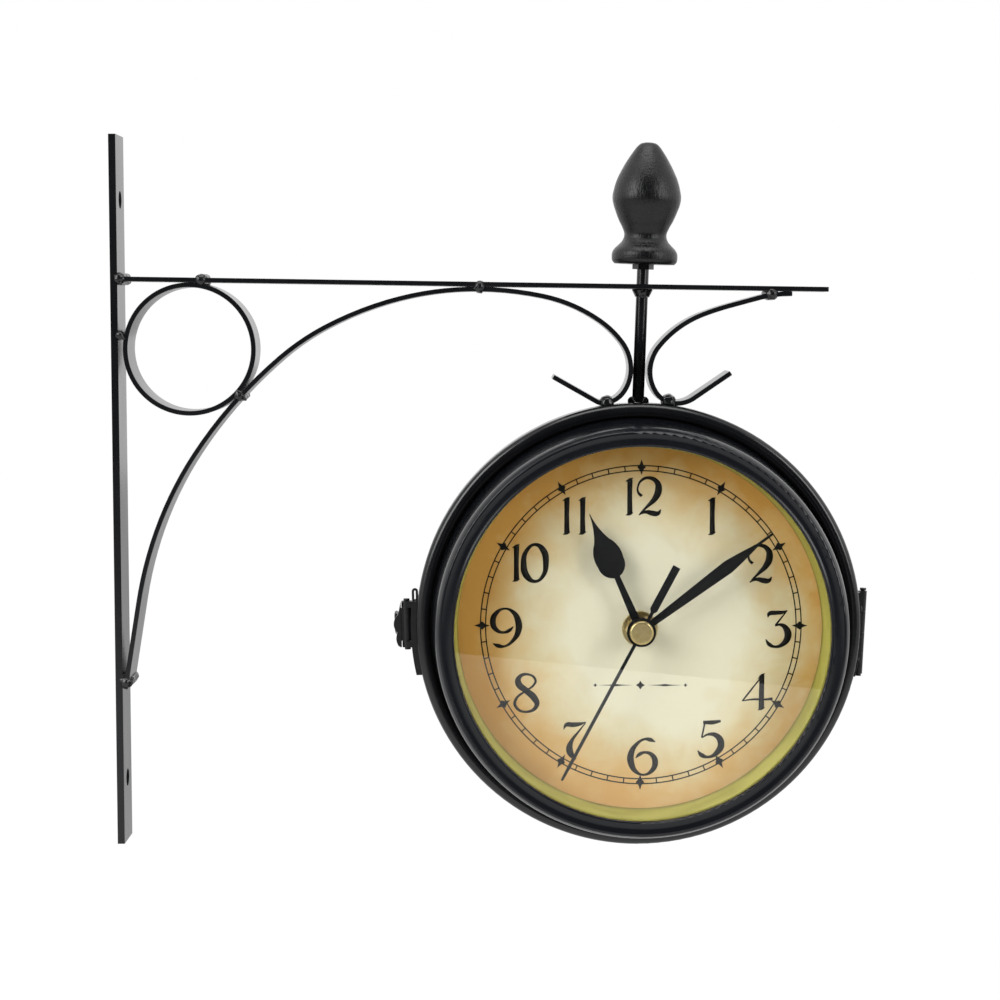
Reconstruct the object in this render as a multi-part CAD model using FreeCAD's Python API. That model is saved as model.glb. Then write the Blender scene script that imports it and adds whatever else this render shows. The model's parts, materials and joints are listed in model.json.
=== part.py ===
"""Double sided station clock on a wall bracket, in millimetres.

The origin is the middle of the wall plate's back face. +X points away from the wall along the
arm, +Y is the depth, and +Z is up. The wall plate, arm, ring, brace and scroll are flat steel
strip standing on edge, so their outlines lie in the X-Z plane and their width runs along Y.

The clock is a drum in two halves. Each half carries a whole clock: bezel, glass, spacer, dial,
movement and hands. The front half (towards -Y) is welded to the bracket. The rear half hangs on a
pin hinge at the right and is held shut by a draw latch at the left. A unit is modelled once, about
the drum's own axis, and the rear one is that unit turned half a turn about the vertical.
"""
import FreeCAD, Part
import os
from math import asin, atan2, cos, degrees, hypot, pi, radians, sin, sqrt, tan

V = FreeCAD.Vector
DEPTH = V(0, 1, 0)
UP = V(0, 0, 1)
ORIGIN = V(0, 0, 0)

# ---------------------------------------------------------------- fits shared by several pieces
SEAT = 0.05                # hairline between pieces that are welded, screwed or pressed together
RUN = 0.06                 # radial clearance of a shaft that turns in its bore
CLEAR = 0.3                # clearance between pieces that move past each other

# ---------------------------------------------------------------- bracket: plate, arm, strips
PLATE_LENGTH = 268.0
PLATE_WIDTH = 18.0
PLATE_T = 2.7
HOLE_PITCH = 220.0         # between the two wall screws
HOLE_R = 3.3
STRIP_WIDTH = 18.0
STRIP_T = 1.8
ARM_Z = 80.35              # height of the arm's middle line at the wall
ARM_DROOP = 0.84           # degrees that the arm hangs below level
ARM_LENGTH = 265.8
ARM_TIP_CHAMFER = 0.4

RING_R = 24.9              # outside of the scroll ring
RING_X = 29.3
BRACE_FOOT_Z = -74.5
BRACE_FOOT_ANGLE = 80.5    # degrees above level
RING_TOUCH = -43.0         # where the brace touches the ring, degrees round its centre
BRACE_BOW = (17.9, -10.1, 68.0)    # way-point between foot and ring: x, z, degrees above level
BRACE_CREST = (80.4, 62.4, 27.5)   # way-point between ring and arm
BRACE_TOUCH_X = 138.0      # where the brace lies along the arm
BRACE_KNEE = (45.2, 13.7)  # left of and below that touch-point's arm, on the hook towards the drum
BRACE_KNEE_ANGLE = -35.0
HOOK_REACH = 3.2           # brace's turning point, left of the clock's axis
HOOK_Z = 96.6              # and its height above it
SCROLL_END_X = 57.0        # scroll's upper end, right of the clock's axis
SCROLL_MID = (33.0, 120.1)
SCROLL_MID_ANGLE = 195.5
SCROLL_SHOULDER = (15.2, 112.5)
SCROLL_SHOULDER_ANGLE = 215.0
SCROLL_REACH = 4.0         # scroll's turning point, right of the clock's axis
SCROLL_TURN_Z = 95.6
SEAT_ANGLE = 8.55          # where both strips stand on the drum, degrees from its top
TAIL_BEND_R = 5.5
TAIL_RISE = 29.5           # slope of the brace's tail
TAIL_RUN = 18.6
SCROLL_TAIL_BEND_R = 11.0
SCROLL_TAIL_RISE = 34.4
SCROLL_TAIL_RUN = 16.8

# ---------------------------------------------------------------- post, nut and finial
POST_R = 2.25
POST_LEAN = 1.9            # degrees, towards +X
NUT_ACROSS = 7.0
NUT_T = 2.0
FINIAL_BASE = 136.0        # above the clock's axis
FINIAL_BORE = 20.0
FINIAL_HEIGHT = 45.7
FINIAL_R = 13.1            # widest part of the bud
FINIAL_WAIST_R = 8.05
FINIAL_FOOT_R = 12.9
FINIAL_TIP_R = 3.4

# ---------------------------------------------------------------- drum
CLOCK_X = 197.9
CLOCK_Z = -50.0
BAND_DEPTH = 9.2           # straight part of the band, from the seam
SHEET_T = 0.9
SEAM = 0.15                # half of the gap between the two halves
LIP_BACK = 6.0             # where the turned-in lip ends, from the seam

# ---------------------------------------------------------------- bezel, glass, spacer, dial
LENS_R = 69.15             # clear opening; every other radius of the drum follows it
GLASS_R = LENS_R + 3.45
BEZEL_FACE_R = GLASS_R + 2.4
BEZEL_SHOULDER_R = BEZEL_FACE_R + 1.3
BEZEL_ROOT_R = BEZEL_SHOULDER_R + 1.5
BEZEL_SKIRT_R = BEZEL_ROOT_R + 0.5
BEZEL_SNAP_R = BEZEL_SKIRT_R + 1.2
LIP_R = BEZEL_SKIRT_R + CLEAR      # opening that the bezel is pushed into
BAND_R = LIP_R + 5.3               # front half
REAR_BAND_R = BAND_R - 1.1         # rear half, which swings clear under the strips
BEZEL_SHOULDER_Y = 32.0
BEZEL_FACE_Y = 36.6
LENS_LIP_T = 1.6
BEZEL_COVE = 0.5
BEZEL_WALL = 2.2
BEZEL_BACK = 4.9
GLASS_T = 2.0
SPACER_T = 1.1
SPACER_FRONT_R = LENS_R - 0.15     # inside, next to the glass
SPACER_REAR_R = SPACER_FRONT_R - 1.0   # inside, next to the dial
SPACER_FLANGE_T = 1.0
DIAL_Y = 18.2              # dial's face, from the seam
DIAL_T = 1.0
DIAL_R = GLASS_R + 0.8
DIAL_SCREWS = 4
DIAL_SCREW_R = 0.8
DIAL_SCREW_HEAD_R = 1.5
DIAL_SCREW_HEAD_T = 0.9
DIAL_SCREW_LENGTH = 6.0
DIAL_SCREW_CIRCLE = DIAL_R - 1.5
DIAL_BOSS_R = 1.6
DIAL_BOSS_LENGTH = 9.0

# ---------------------------------------------------------------- movement
CASE_SIDE = 56.0
CASE_T = 14.6
CASE_CORNER = 4.0
CASE_DROP = 6.0            # case centre below the hands' axis
BATTERY_R = 7.1
BATTERY_LENGTH = 50.5
BATTERY_DROP = 19.0        # battery's axis below the hands' axis
BATTERY_NUB_R = 2.7
BATTERY_NUB = 1.2
BAY_CLEAR = 0.35
GROOVE_X = (-20.0, -16.0, -12.0)   # three moulded grooves in the case's back
GROOVE_WIDTH = 1.2
GROOVE_DEPTH = 0.8
GROOVE_HIGH = 5.0          # below the case's top
GROOVE_LOW = 14.0
BUSH_R = 3.95
BUSH_FRONT = 21.3
WASHER_R = 6.65
WASHER_T = 0.6
NUT_FLATS = 9.6
SHAFT_NUT_T = 2.2
HOUR_TUBE_R = 2.5
HOUR_TUBE_WALL = 0.6
MINUTE_ARBOR_R = 1.75
MINUTE_ARBOR_WALL = 0.75
SECOND_ARBOR_R = 0.8
HOUR_TUBE_BACK = 13.5
MINUTE_ARBOR_BACK = 10.5
SECOND_ARBOR_BACK = 7.5
KNOB_R = 6.5
KNOB_T = 1.2
KNOB_STEM_R = 1.6
KNOB_STEM = 4.0
KNOB_NOTCHES = 18
KNOB_AT = (13.0, 9.0)      # beside and above the hands' axis
KNOB_NOTCH_R = 0.55

# ---------------------------------------------------------------- hands
HAND_T = 0.45
HOUR_HAND_Y = 23.0
MINUTE_HAND_Y = 25.6
SECOND_HAND_Y = 28.3
HOUR_ANGLE = 336.2         # clockwise from twelve
MINUTE_ANGLE = 53.1
SECOND_ANGLE = 207.9
HOUR_HUB_R = 4.6
MINUTE_HUB_R = 4.2
SECOND_HUB_R = 5.4
COLLET_T = 1.1
HOUR_HAND = 47.5
MINUTE_HAND = 60.6
SECOND_HAND = 62.7
SECOND_TAIL = 27.6
SECOND_TAIL_START = 9.5
SECOND_TAIL_WIDTH = 2.9
SECOND_WIDTH = 1.25
CAP_R = 4.43
CAP_T = 1.9

# ---------------------------------------------------------------- hinge, right side of the drum
HINGE_TURN = 2.6           # degrees round the drum, below the level of its axis
BARREL_R = 1.5
HINGE_PIN_R = 0.75
HINGE_HEIGHT = 32.0
KNUCKLES = 4
KNUCKLE_GAP = 0.15
LEAF_T = 0.7
LEAF_DEPTH = 8.6
RIVET_R = 0.75
RIVET_HEAD_R = 1.35
RIVET_HEAD = 0.55
HINGE_RIVET_Z = (-9.5, 9.5)
HINGE_RIVET_Y = 5.3        # from the seam

# ---------------------------------------------------------------- latch, left side of the drum
LATCH_TURN = -1.5
LATCH_PLATE_T = 1.1
LATCH_PLATE_TOP = 11.2
LATCH_PLATE_BOTTOM = -17.0
LATCH_PLATE_DEPTH = 8.4
LATCH_FLANGE_T = 1.5       # the plate's front edge, folded out
LATCH_FLANGE = 2.1         # how far it stands off the band
LATCH_PIN_X = 3.6          # out from the band
LATCH_PIN_Y = -4.6
LATCH_PIN_R = 0.75
EAR_T = 2.4
EAR_TOP = 11.0
EAR_BOTTOM = -6.6
EAR_R = 2.0
LEVER_REACH = 8.6          # out from the band
LEVER_WIDTH = 3.8
LOOP_WIRE_R = 0.6
LOOP_HEIGHT = 8.0
LOOP_Z = 1.4
LOOP_LENGTH = 11.4
LOOP_CORNER = 1.6
LOOP_OUT = 5.6             # its pivot, out from the band
LOOP_Y = -3.6
LOOP_OPEN = 14.0           # degrees that the loop stands off its hook
LEG_ROOM = 0.25            # between the loop's legs and the lever, up and down
STRIKE_DEPTH = 7.4
STRIKE_HEIGHT = 15.0
HOOK_Y = 6.6
HOOK_T = 1.0
HOOK_OUT = 4.2
HOOK_WIDTH = 4.6
EYE_WIRE_R = 0.45
EYE_Y = -5.0
EYE_WIDTH = 2.4
EYE_HEIGHT = 5.2
LATCH_RIVET_Z = -12.5

# ---------------------------------------------------------------- welds
WELD_R = 2.3
WELD_SMALL_R = 1.9
WELD_PROUD = 1.2           # how far a bead stands out of the strips' edges
SLIVER = 1.0               # smallest volume that is kept of a bead


# ================================================================ outlines and solids
def in_plane(x, z):
    """Point of a flat piece: x and z in the X-Z plane."""
    return V(x, 0, z)


def in_section(r, y):
    """Point of a turned piece: distance from the axis, and place along it."""
    return V(r, y, 0)


def face_of(start, steps, place):
    """Closed face. A step is an end point, or a pair of a point on the way and an end point."""
    edges = []
    here = start
    for step in steps:
        if isinstance(step[0], tuple):
            edges.append(Part.Arc(place(*here), place(*step[0]), place(*step[1])).toShape())
            here = step[1]
        else:
            edges.append(Part.LineSegment(place(*here), place(*step)).toShape())
            here = step
    if hypot(here[0] - start[0], here[1] - start[1]) > 1e-6:
        edges.append(Part.LineSegment(place(*here), place(*start)).toShape())
    return Part.Face(Part.Wire(edges))


def turned(start, *steps):
    """Solid of revolution about the Y axis."""
    return face_of(start, steps, in_section).revolve(ORIGIN, DEPTH, 360)


def dome(radius, y, height):
    """Steps of a low rounded head on the Y axis, from its rim to its middle."""
    return [(radius, y), ((radius * 0.8, y + height * 0.7), (radius * 0.3, y + height)),
            (0, y + height)]


def extruded(start, steps, y_low, y_high):
    """Flat piece between two depths."""
    face = face_of(start, steps, in_plane)
    face.translate(V(0, y_low, 0))
    return face.extrude(V(0, y_high - y_low, 0))


def rod(radius, start, end):
    """Round bar from one point to another."""
    along = end.sub(start)
    return Part.makeCylinder(radius, along.Length, start, along)


def disc(radius, y_low, y_high, x=0.0, z=0.0):
    """Round bar along Y."""
    return rod(radius, V(x, y_low, z), V(x, y_high, z))


def block(x_low, x_high, y_low, y_high, z_low, z_high):
    """Square block between two corners."""
    return Part.makeBox(x_high - x_low, y_high - y_low, z_high - z_low, V(x_low, y_low, z_low))


def joined(shapes):
    """One solid from several that touch."""
    whole = shapes[0]
    if len(shapes) > 1:
        whole = whole.fuse(shapes[1:])
    return whole.removeSplitter()


def turned_about(shape, angle, axis=DEPTH, centre=ORIGIN):
    """Copy of a shape, turned about an axis."""
    copy = shape.copy()
    copy.rotate(centre, axis, angle)
    return copy


def on_clock(shape):
    """Copy of a shape moved from the drum's own axis to its place on the bracket."""
    copy = shape.copy()
    copy.translate(V(CLOCK_X, 0, CLOCK_Z))
    return copy


# ================================================================ bent strip
def bend(station, radius, turn):
    """Station after a bend; turn is in degrees, positive to the left."""
    x, z, heading = station
    side = 1 if turn > 0 else -1
    start = radians(heading - side * 90)
    end = radians(heading + turn - side * 90)
    return (x + radius * (cos(end) - cos(start)), z + radius * (sin(end) - sin(start)),
            heading + turn)


def run(station, length):
    """Station after a straight run."""
    x, z, heading = station
    return (x + length * cos(radians(heading)), z + length * sin(radians(heading)), heading)


def arc_stations(here, end):
    """Stations at the start, middle and end of the arc that leaves here and reaches end."""
    x, z, heading = here
    chord = hypot(end[0] - x, end[1] - z)
    half = degrees(atan2(end[1] - z, end[0] - x)) - heading
    half = (half + 180) % 360 - 180
    reach = chord / (2 * cos(radians(half / 2)))
    way = radians(heading + half / 2)
    middle = (x + reach * cos(way), z + reach * sin(way), heading + half)
    return [here, middle, (end[0], end[1], heading + 2 * half)]


def blend(here, there):
    """Two tangent arcs between two stations, each as three stations."""
    ax, az = cos(radians(here[2])), sin(radians(here[2]))
    bx, bz = cos(radians(there[2])), sin(radians(there[2]))
    vx, vz = there[0] - here[0], there[1] - here[1]
    along = vx * (ax + bx) + vz * (az + bz)
    spread = 2 * (1 - ax * bx - az * bz)
    square = vx * vx + vz * vz
    if spread < 1e-9:
        size = square / (2 * along)
    else:
        size = (sqrt(along * along + spread * square) - along) / spread
    meet = ((here[0] + there[0] + size * (ax - bx)) / 2, (here[1] + there[1] + size * (az - bz)) / 2)
    first = arc_stations(here, meet)
    return [first, arc_stations(first[2], there)]


def strip(stations):
    """Flat strip, on edge, along a chain of stations (x, z, heading)."""
    arcs = [arc for here, there in zip(stations, stations[1:]) for arc in blend(here, there)]

    def beside(station, side):
        x, z, heading = station
        return (x - side * sin(radians(heading)), z + side * cos(radians(heading)))

    def straight(arc):
        return abs(arc[2][2] - arc[0][2]) < 1e-4

    half = STRIP_T / 2
    steps = []
    for arc in arcs:
        end = beside(arc[2], half)
        steps.append(end if straight(arc) else (beside(arc[1], half), end))
    steps.append(beside(arcs[-1][2], -half))
    for arc in reversed(arcs):
        end = beside(arc[0], -half)
        steps.append(end if straight(arc) else (beside(arc[1], -half), end))
    return extruded(beside(arcs[0][0], half), steps, -STRIP_WIDTH / 2, STRIP_WIDTH / 2)


def arm_middle(x):
    """Height of the arm's middle line at a distance from the wall."""
    return ARM_Z - x * tan(radians(ARM_DROOP))


def under_arm(x):
    """Height of the middle of a strip that lies along the arm's underside."""
    return arm_middle(x) - (STRIP_T + SEAT) / cos(radians(ARM_DROOP))


def drum_seat(angle):
    """Place of a strip's middle where it stands on the drum, at an angle from the drum's top."""
    reach = BAND_R + SEAT + STRIP_T / 2
    return CLOCK_X + reach * sin(radians(angle)), CLOCK_Z + reach * cos(radians(angle))


def ring_centre():
    """Centre of the scroll ring, which hangs under the arm."""
    gap = (STRIP_T / 2 + SEAT + RING_R) / cos(radians(ARM_DROOP))
    return RING_X, arm_middle(RING_X) - gap


def ring_touch():
    """Station where the brace passes the ring."""
    x, z = ring_centre()
    reach = RING_R + SEAT + STRIP_T / 2
    way = radians(RING_TOUCH)
    return (x + reach * cos(way), z + reach * sin(way), RING_TOUCH + 90)


# ================================================================ bracket
def wall_plate():
    """Flat bar with two screw holes."""
    half = PLATE_WIDTH / 2
    bar = block(0, PLATE_T, -half, half, -PLATE_LENGTH / 2, PLATE_LENGTH / 2)
    for side in (-1, 1):
        height = side * HOLE_PITCH / 2
        bar = bar.cut(rod(HOLE_R, V(-1, 0, height), V(PLATE_T + 1, 0, height)))
    return bar


def top_arm():
    """Straight strip from the plate, pierced for the post."""
    start = PLATE_T + SEAT
    slope = tan(radians(ARM_DROOP))
    low = -STRIP_T / 2
    arm = block(0, ARM_LENGTH, -STRIP_WIDTH / 2, STRIP_WIDTH / 2, low, low + STRIP_T)
    edges = [edge for edge in arm.Edges
             if abs(edge.CenterOfMass.x - ARM_LENGTH) < 1e-6 and abs(edge.CenterOfMass.y) > 1]
    arm = arm.makeFillet(ARM_TIP_CHAMFER, edges)
    arm.rotate(ORIGIN, DEPTH, ARM_DROOP)
    arm.translate(V(start, 0, ARM_Z - start * slope))
    return arm.cut(post_rod(POST_R + SEAT))


def scroll_ring():
    """Rolled ring under the arm."""
    x, z = ring_centre()
    half = STRIP_WIDTH / 2
    return disc(RING_R, -half, half, x, z).cut(disc(RING_R - STRIP_T, -half, half, x, z))


def long_brace():
    """Strip from the plate, past the ring, along the arm and down to the drum, with a tail."""
    droop = -ARM_DROOP
    seat = drum_seat(-SEAT_ANGLE)
    turn = (CLOCK_X - HOOK_REACH, CLOCK_Z + HOOK_Z, -90)
    knee = (BRACE_TOUCH_X + BRACE_KNEE[0], under_arm(BRACE_TOUCH_X) - BRACE_KNEE[1] + STRIP_T,
            BRACE_KNEE_ANGLE)
    stand = (seat[0], seat[1], SEAT_ANGLE - 180)
    tail = bend(stand, TAIL_BEND_R, -(TAIL_RISE + SEAT_ANGLE))
    foot_x = PLATE_T + 2 * SEAT + STRIP_T / 2
    return strip([(foot_x, BRACE_FOOT_Z, BRACE_FOOT_ANGLE), BRACE_BOW, ring_touch(), BRACE_CREST,
                  (BRACE_TOUCH_X, under_arm(BRACE_TOUCH_X), droop), knee, turn, stand, tail,
                  run(tail, TAIL_RUN)])


def outer_scroll():
    """Strip from under the arm's end down to the drum, with a tail."""
    seat = drum_seat(SEAT_ANGLE)
    top_x = CLOCK_X + SCROLL_END_X
    stand = (seat[0], seat[1], -SEAT_ANGLE)
    tail = bend(stand, SCROLL_TAIL_BEND_R, SCROLL_TAIL_RISE + SEAT_ANGLE)
    return strip([(top_x, under_arm(top_x), 180 - ARM_DROOP),
                  (CLOCK_X + SCROLL_MID[0], CLOCK_Z + SCROLL_MID[1], SCROLL_MID_ANGLE),
                  (CLOCK_X + SCROLL_SHOULDER[0], CLOCK_Z + SCROLL_SHOULDER[1],
                   SCROLL_SHOULDER_ANGLE),
                  (CLOCK_X + SCROLL_REACH, CLOCK_Z + SCROLL_TURN_Z, 270), stand, tail,
                  run(tail, SCROLL_TAIL_RUN)])


def leaned(shape):
    """Copy of a piece on the drum's axis, leaned with the post and moved to its place."""
    return on_clock(turned_about(shape, POST_LEAN, DEPTH, V(0, 0, BAND_R)))


def post_rod(radius):
    """The post's round bar, or the hole for it, from the drum's top into the finial."""
    return leaned(rod(radius, V(0, 0, BAND_R + SEAT), V(0, 0, FINIAL_BASE + FINIAL_BORE)))


def finial_nut():
    """Hexagon nut under the finial."""
    flats = NUT_ACROSS / 2
    points = [(flats / cos(pi / 6) * cos(pi / 3 * n), flats / cos(pi / 6) * sin(pi / 3 * n))
              for n in range(6)]
    wire = Part.makePolygon([V(x, y, FINIAL_BASE - NUT_T) for x, y in points + points[:1]])
    nut = Part.Face(wire).extrude(V(0, 0, NUT_T - SEAT))
    return leaned(nut).cut(post_rod(POST_R + SEAT))


def finial():
    """Turned wooden bud on a flared foot, bored for the post."""
    foot, waist, wide, tip = FINIAL_FOOT_R, FINIAL_WAIST_R, FINIAL_R, FINIAL_TIP_R
    high = FINIAL_HEIGHT
    face = face_of((0, 0), [(foot - 0.9, 0), ((foot - 0.1, 1.4), (foot, 3.0)),
                            ((foot - 0.35, 4.3), (foot - 1.2, 5.6)),
                            ((waist + 1.3, 7.8), (waist + 0.05, 10.2)),
                            ((waist + 0.45, 10.8), (waist + 0.25, 11.5)),
                            ((waist + 1.45, 14.2), (waist + 3.0, 17.0)),
                            ((wide - 0.9, 20.8), (wide, 25.0)),
                            ((wide - 2.3, 33.6), (wide - 6.3, 41.3)),
                            ((tip + 1.2, 44.6), (tip, high - 0.7)),
                            ((tip - 0.6, high - 0.15), (tip - 1.6, high)), (0, high)],
                   lambda r, z: V(r, 0, z))
    bud = face.revolve(ORIGIN, UP, 360)
    bud.translate(V(0, 0, FINIAL_BASE))
    return leaned(bud).cut(post_rod(POST_R + SEAT))


def bead(x, z, radius, y_low, y_high):
    """Round-ended weld bead along Y."""
    ends = [Part.makeSphere(radius, V(x, y_low + radius, z)),
            Part.makeSphere(radius, V(x, y_high - radius, z))]
    return joined([disc(radius, y_low + radius, y_high - radius, x, z)] + ends)


def weld_beads(welded):
    """One bead at each joint of the bracket, cut to the pieces that it joins."""
    ring_x, ring_z = ring_centre()
    touch = ring_touch()
    brace_seat = drum_seat(-SEAT_ANGLE)
    scroll_seat = drum_seat(SEAT_ANGLE)
    post_z = CLOCK_Z + BAND_R
    arm_at_post = arm_middle(CLOCK_X) - STRIP_T
    across_strip = (-STRIP_WIDTH / 2 - WELD_PROUD, STRIP_WIDTH / 2 + WELD_PROUD)
    across_drum = (-STRIP_WIDTH / 2 - WELD_PROUD, -SEAM)
    round_post = (-POST_R - WELD_SMALL_R, -SEAM)
    places = [
        (PLATE_T + 0.6, arm_middle(0), WELD_R, across_strip),
        (PLATE_T + 0.8, ring_z + 5.2, WELD_SMALL_R, across_strip),
        (ring_x + 4.4, ring_z + RING_R + STRIP_T / 2, WELD_R, across_strip),
        ((touch[0] + ring_x + RING_R * cos(radians(RING_TOUCH))) / 2,
         (touch[1] + ring_z + RING_R * sin(radians(RING_TOUCH))) / 2, WELD_R, across_strip),
        (PLATE_T + 1.2, BRACE_FOOT_Z + 2.4, WELD_R, across_strip),
        (BRACE_TOUCH_X, under_arm(BRACE_TOUCH_X) + STRIP_T / 2, WELD_R, across_strip),
        (CLOCK_X + SCROLL_END_X - 7.5, under_arm(CLOCK_X + SCROLL_END_X), WELD_R, across_strip),
        (brace_seat[0] + 0.5, brace_seat[1], WELD_R + 0.5, across_drum),
        (scroll_seat[0] - 1.5, scroll_seat[1] + 0.5, WELD_R + 0.5, across_drum),
        (CLOCK_X - POST_R, post_z + 0.4, WELD_SMALL_R, round_post),
        (CLOCK_X + POST_R, post_z + 0.4, WELD_SMALL_R, round_post),
    ]
    swing_room = on_clock(disc(BAND_R + CLEAR, -SEAM, STRIP_WIDTH))
    collar = leaned(Part.makeCone(POST_R + 0.4, POST_R + 1.9, 3.2,
                                  V(0, 0, arm_at_post - CLOCK_Z - 2.2)))
    lumps = [bead(x, z, radius, *depth) for x, z, radius, depth in places] + [collar]
    kept = [solid for lump in lumps for solid in lump.cut(welded + [swing_room]).Solids
            if solid.Volume > SLIVER]
    return Part.makeCompound(kept)


# ================================================================ one unit of the clock
def drum_shell(band_r):
    """Half drum: band, rolled bead and the turned-in lip that holds the bezel."""
    roll = (band_r - LIP_R) / 2
    middle = LIP_R + roll
    inner = roll - SHEET_T
    return turned((band_r, -SEAM), (band_r, -BAND_DEPTH),
                  ((middle, -BAND_DEPTH - roll), (LIP_R, -BAND_DEPTH)), (LIP_R, -LIP_BACK),
                  (LIP_R + SHEET_T, -LIP_BACK), (LIP_R + SHEET_T, -BAND_DEPTH),
                  ((middle, -BAND_DEPTH - inner), (band_r - SHEET_T, -BAND_DEPTH)),
                  (band_r - SHEET_T, -SEAM))


def drum_envelope():
    """Outside of the front half, filled, with its band carried on over the rear half."""
    roll = (BAND_R - LIP_R) / 2
    middle = LIP_R + roll
    slant = roll * cos(pi / 4)
    return turned((0, BAND_DEPTH), (0, -BAND_DEPTH - roll), (middle, -BAND_DEPTH - roll),
                  ((middle + slant, -BAND_DEPTH - slant), (BAND_R, -BAND_DEPTH)),
                  (BAND_R, BAND_DEPTH))


def screw_places():
    """Places of the dial screws, x and z, on the diagonals."""
    steps = [2 * pi * (n + 0.5) / DIAL_SCREWS for n in range(DIAL_SCREWS)]
    return [(DIAL_SCREW_CIRCLE * cos(way), DIAL_SCREW_CIRCLE * sin(way)) for way in steps]


def bezel():
    """Snap-in ring: skirt, tapered wall, coved face and the lip in front of the glass."""
    lens_y = BEZEL_FACE_Y + 0.8
    inner = BEZEL_FACE_R - BEZEL_WALL + 0.6
    mid_r = (BEZEL_FACE_R - 1.2 + LENS_R + 0.8) / 2
    ring = turned((BEZEL_SNAP_R, -BEZEL_BACK), (BEZEL_SNAP_R, -LIP_BACK + SEAT),
                  (BEZEL_SKIRT_R, -LIP_BACK + SEAT), (BEZEL_SKIRT_R, -BAND_DEPTH),
                  (BEZEL_ROOT_R, -BAND_DEPTH - 0.8), (BEZEL_SHOULDER_R, -BEZEL_SHOULDER_Y),
                  ((BEZEL_SHOULDER_R - 0.35, -BEZEL_SHOULDER_Y - 2.6),
                   (BEZEL_FACE_R, -BEZEL_FACE_Y)),
                  ((BEZEL_FACE_R - 0.5, -lens_y + 0.15), (BEZEL_FACE_R - 1.2, -lens_y)),
                  ((mid_r, -lens_y + BEZEL_COVE), (LENS_R + 0.8, -lens_y)),
                  ((LENS_R + 0.2, -lens_y + 0.2), (LENS_R, -lens_y + 0.8)),
                  (LENS_R, -lens_y + LENS_LIP_T), (inner, -lens_y + LENS_LIP_T),
                  (inner, -DIAL_Y + DIAL_T + 1.0), (BEZEL_SKIRT_R - BEZEL_WALL, -BAND_DEPTH),
                  (BEZEL_SKIRT_R - BEZEL_WALL, -BEZEL_BACK))
    front = DIAL_Y + SPACER_FLANGE_T + SEAT
    bosses = [disc(DIAL_BOSS_R, -front - DIAL_BOSS_LENGTH, -front, x, z)
              for x, z in screw_places()]
    bores = [disc(DIAL_SCREW_R + SEAT, -front - DIAL_SCREW_LENGTH, -front + 1, x, z)
             for x, z in screw_places()]
    return joined([ring] + bosses).cut(bores)


def glass_front():
    """Depth of the glass's outer face: it lies behind the bezel's lip."""
    return -(BEZEL_FACE_Y + 0.8) + LENS_LIP_T + SEAT


def glass():
    """Flat disc with ground edges."""
    y = glass_front()
    return turned((0, y), (GLASS_R - 0.3, y), (GLASS_R, y + 0.3), (GLASS_R, y + GLASS_T - 0.3),
                  (GLASS_R - 0.3, y + GLASS_T), (0, y + GLASS_T))


def spacer_ring():
    """Slightly conical ring between glass and dial, with a flange for the dial screws."""
    front = glass_front() + GLASS_T + SEAT
    rear = -DIAL_Y - SEAT
    flange_r = DIAL_R - 0.2
    ring = turned((SPACER_FRONT_R, front), (SPACER_REAR_R, rear), (flange_r, rear),
                  (flange_r, rear - SPACER_FLANGE_T),
                  (SPACER_REAR_R + SPACER_T, rear - SPACER_FLANGE_T),
                  (SPACER_FRONT_R + SPACER_T, front))
    room = [disc(DIAL_BOSS_R + SEAT, front, rear - SPACER_FLANGE_T, x, z)
            for x, z in screw_places()]
    holes = [disc(DIAL_SCREW_R + SEAT, rear - SPACER_FLANGE_T - 1, rear + 1, x, z)
             for x, z in screw_places()]
    return ring.cut(room + holes)


def dial_plate():
    """Flat disc that the printed paper is glued to."""
    plate = disc(DIAL_R, -DIAL_Y, -DIAL_Y + DIAL_T)
    holes = [disc(DIAL_SCREW_R + SEAT, -DIAL_Y - 1, -DIAL_Y + DIAL_T + 1, x, z)
             for x, z in screw_places()]
    return plate.cut(holes + [disc(BUSH_R + SEAT, -DIAL_Y - 1, -DIAL_Y + DIAL_T + 1)])


def dial_screws():
    """Small pan-head screws through dial and flange into the bezel's bosses."""
    back = -DIAL_Y + DIAL_T
    shank_end = -DIAL_Y - SPACER_FLANGE_T - DIAL_SCREW_LENGTH + 1.2
    shape = turned((0, shank_end), (DIAL_SCREW_R * 0.5, shank_end),
                   (DIAL_SCREW_R, shank_end + 0.8), (DIAL_SCREW_R, back + SEAT),
                   *dome(DIAL_SCREW_HEAD_R, back + SEAT, DIAL_SCREW_HEAD_T))
    screws = []
    for x, z in screw_places():
        screw = shape.copy()
        screw.translate(V(x, 0, z))
        screws.append(screw)
    return Part.makeCompound(screws)


def battery_axis():
    """Depth and height of the battery's middle."""
    return -DIAL_Y + DIAL_T + SEAT + CASE_T / 2, -BATTERY_DROP


def battery_cell(radius, length, nub):
    """Round cell along X with its contact nub, or the room for it."""
    y, z = battery_axis()
    can = rod(radius, V(-length / 2, y, z), V(length / 2 - nub, y, z))
    top = rod(BATTERY_NUB_R, V(length / 2 - nub, y, z), V(length / 2, y, z))
    return joined([can, top])


def battery():
    """Round dry cell across the foot of the movement."""
    return battery_cell(BATTERY_R, BATTERY_LENGTH, BATTERY_NUB)


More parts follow.
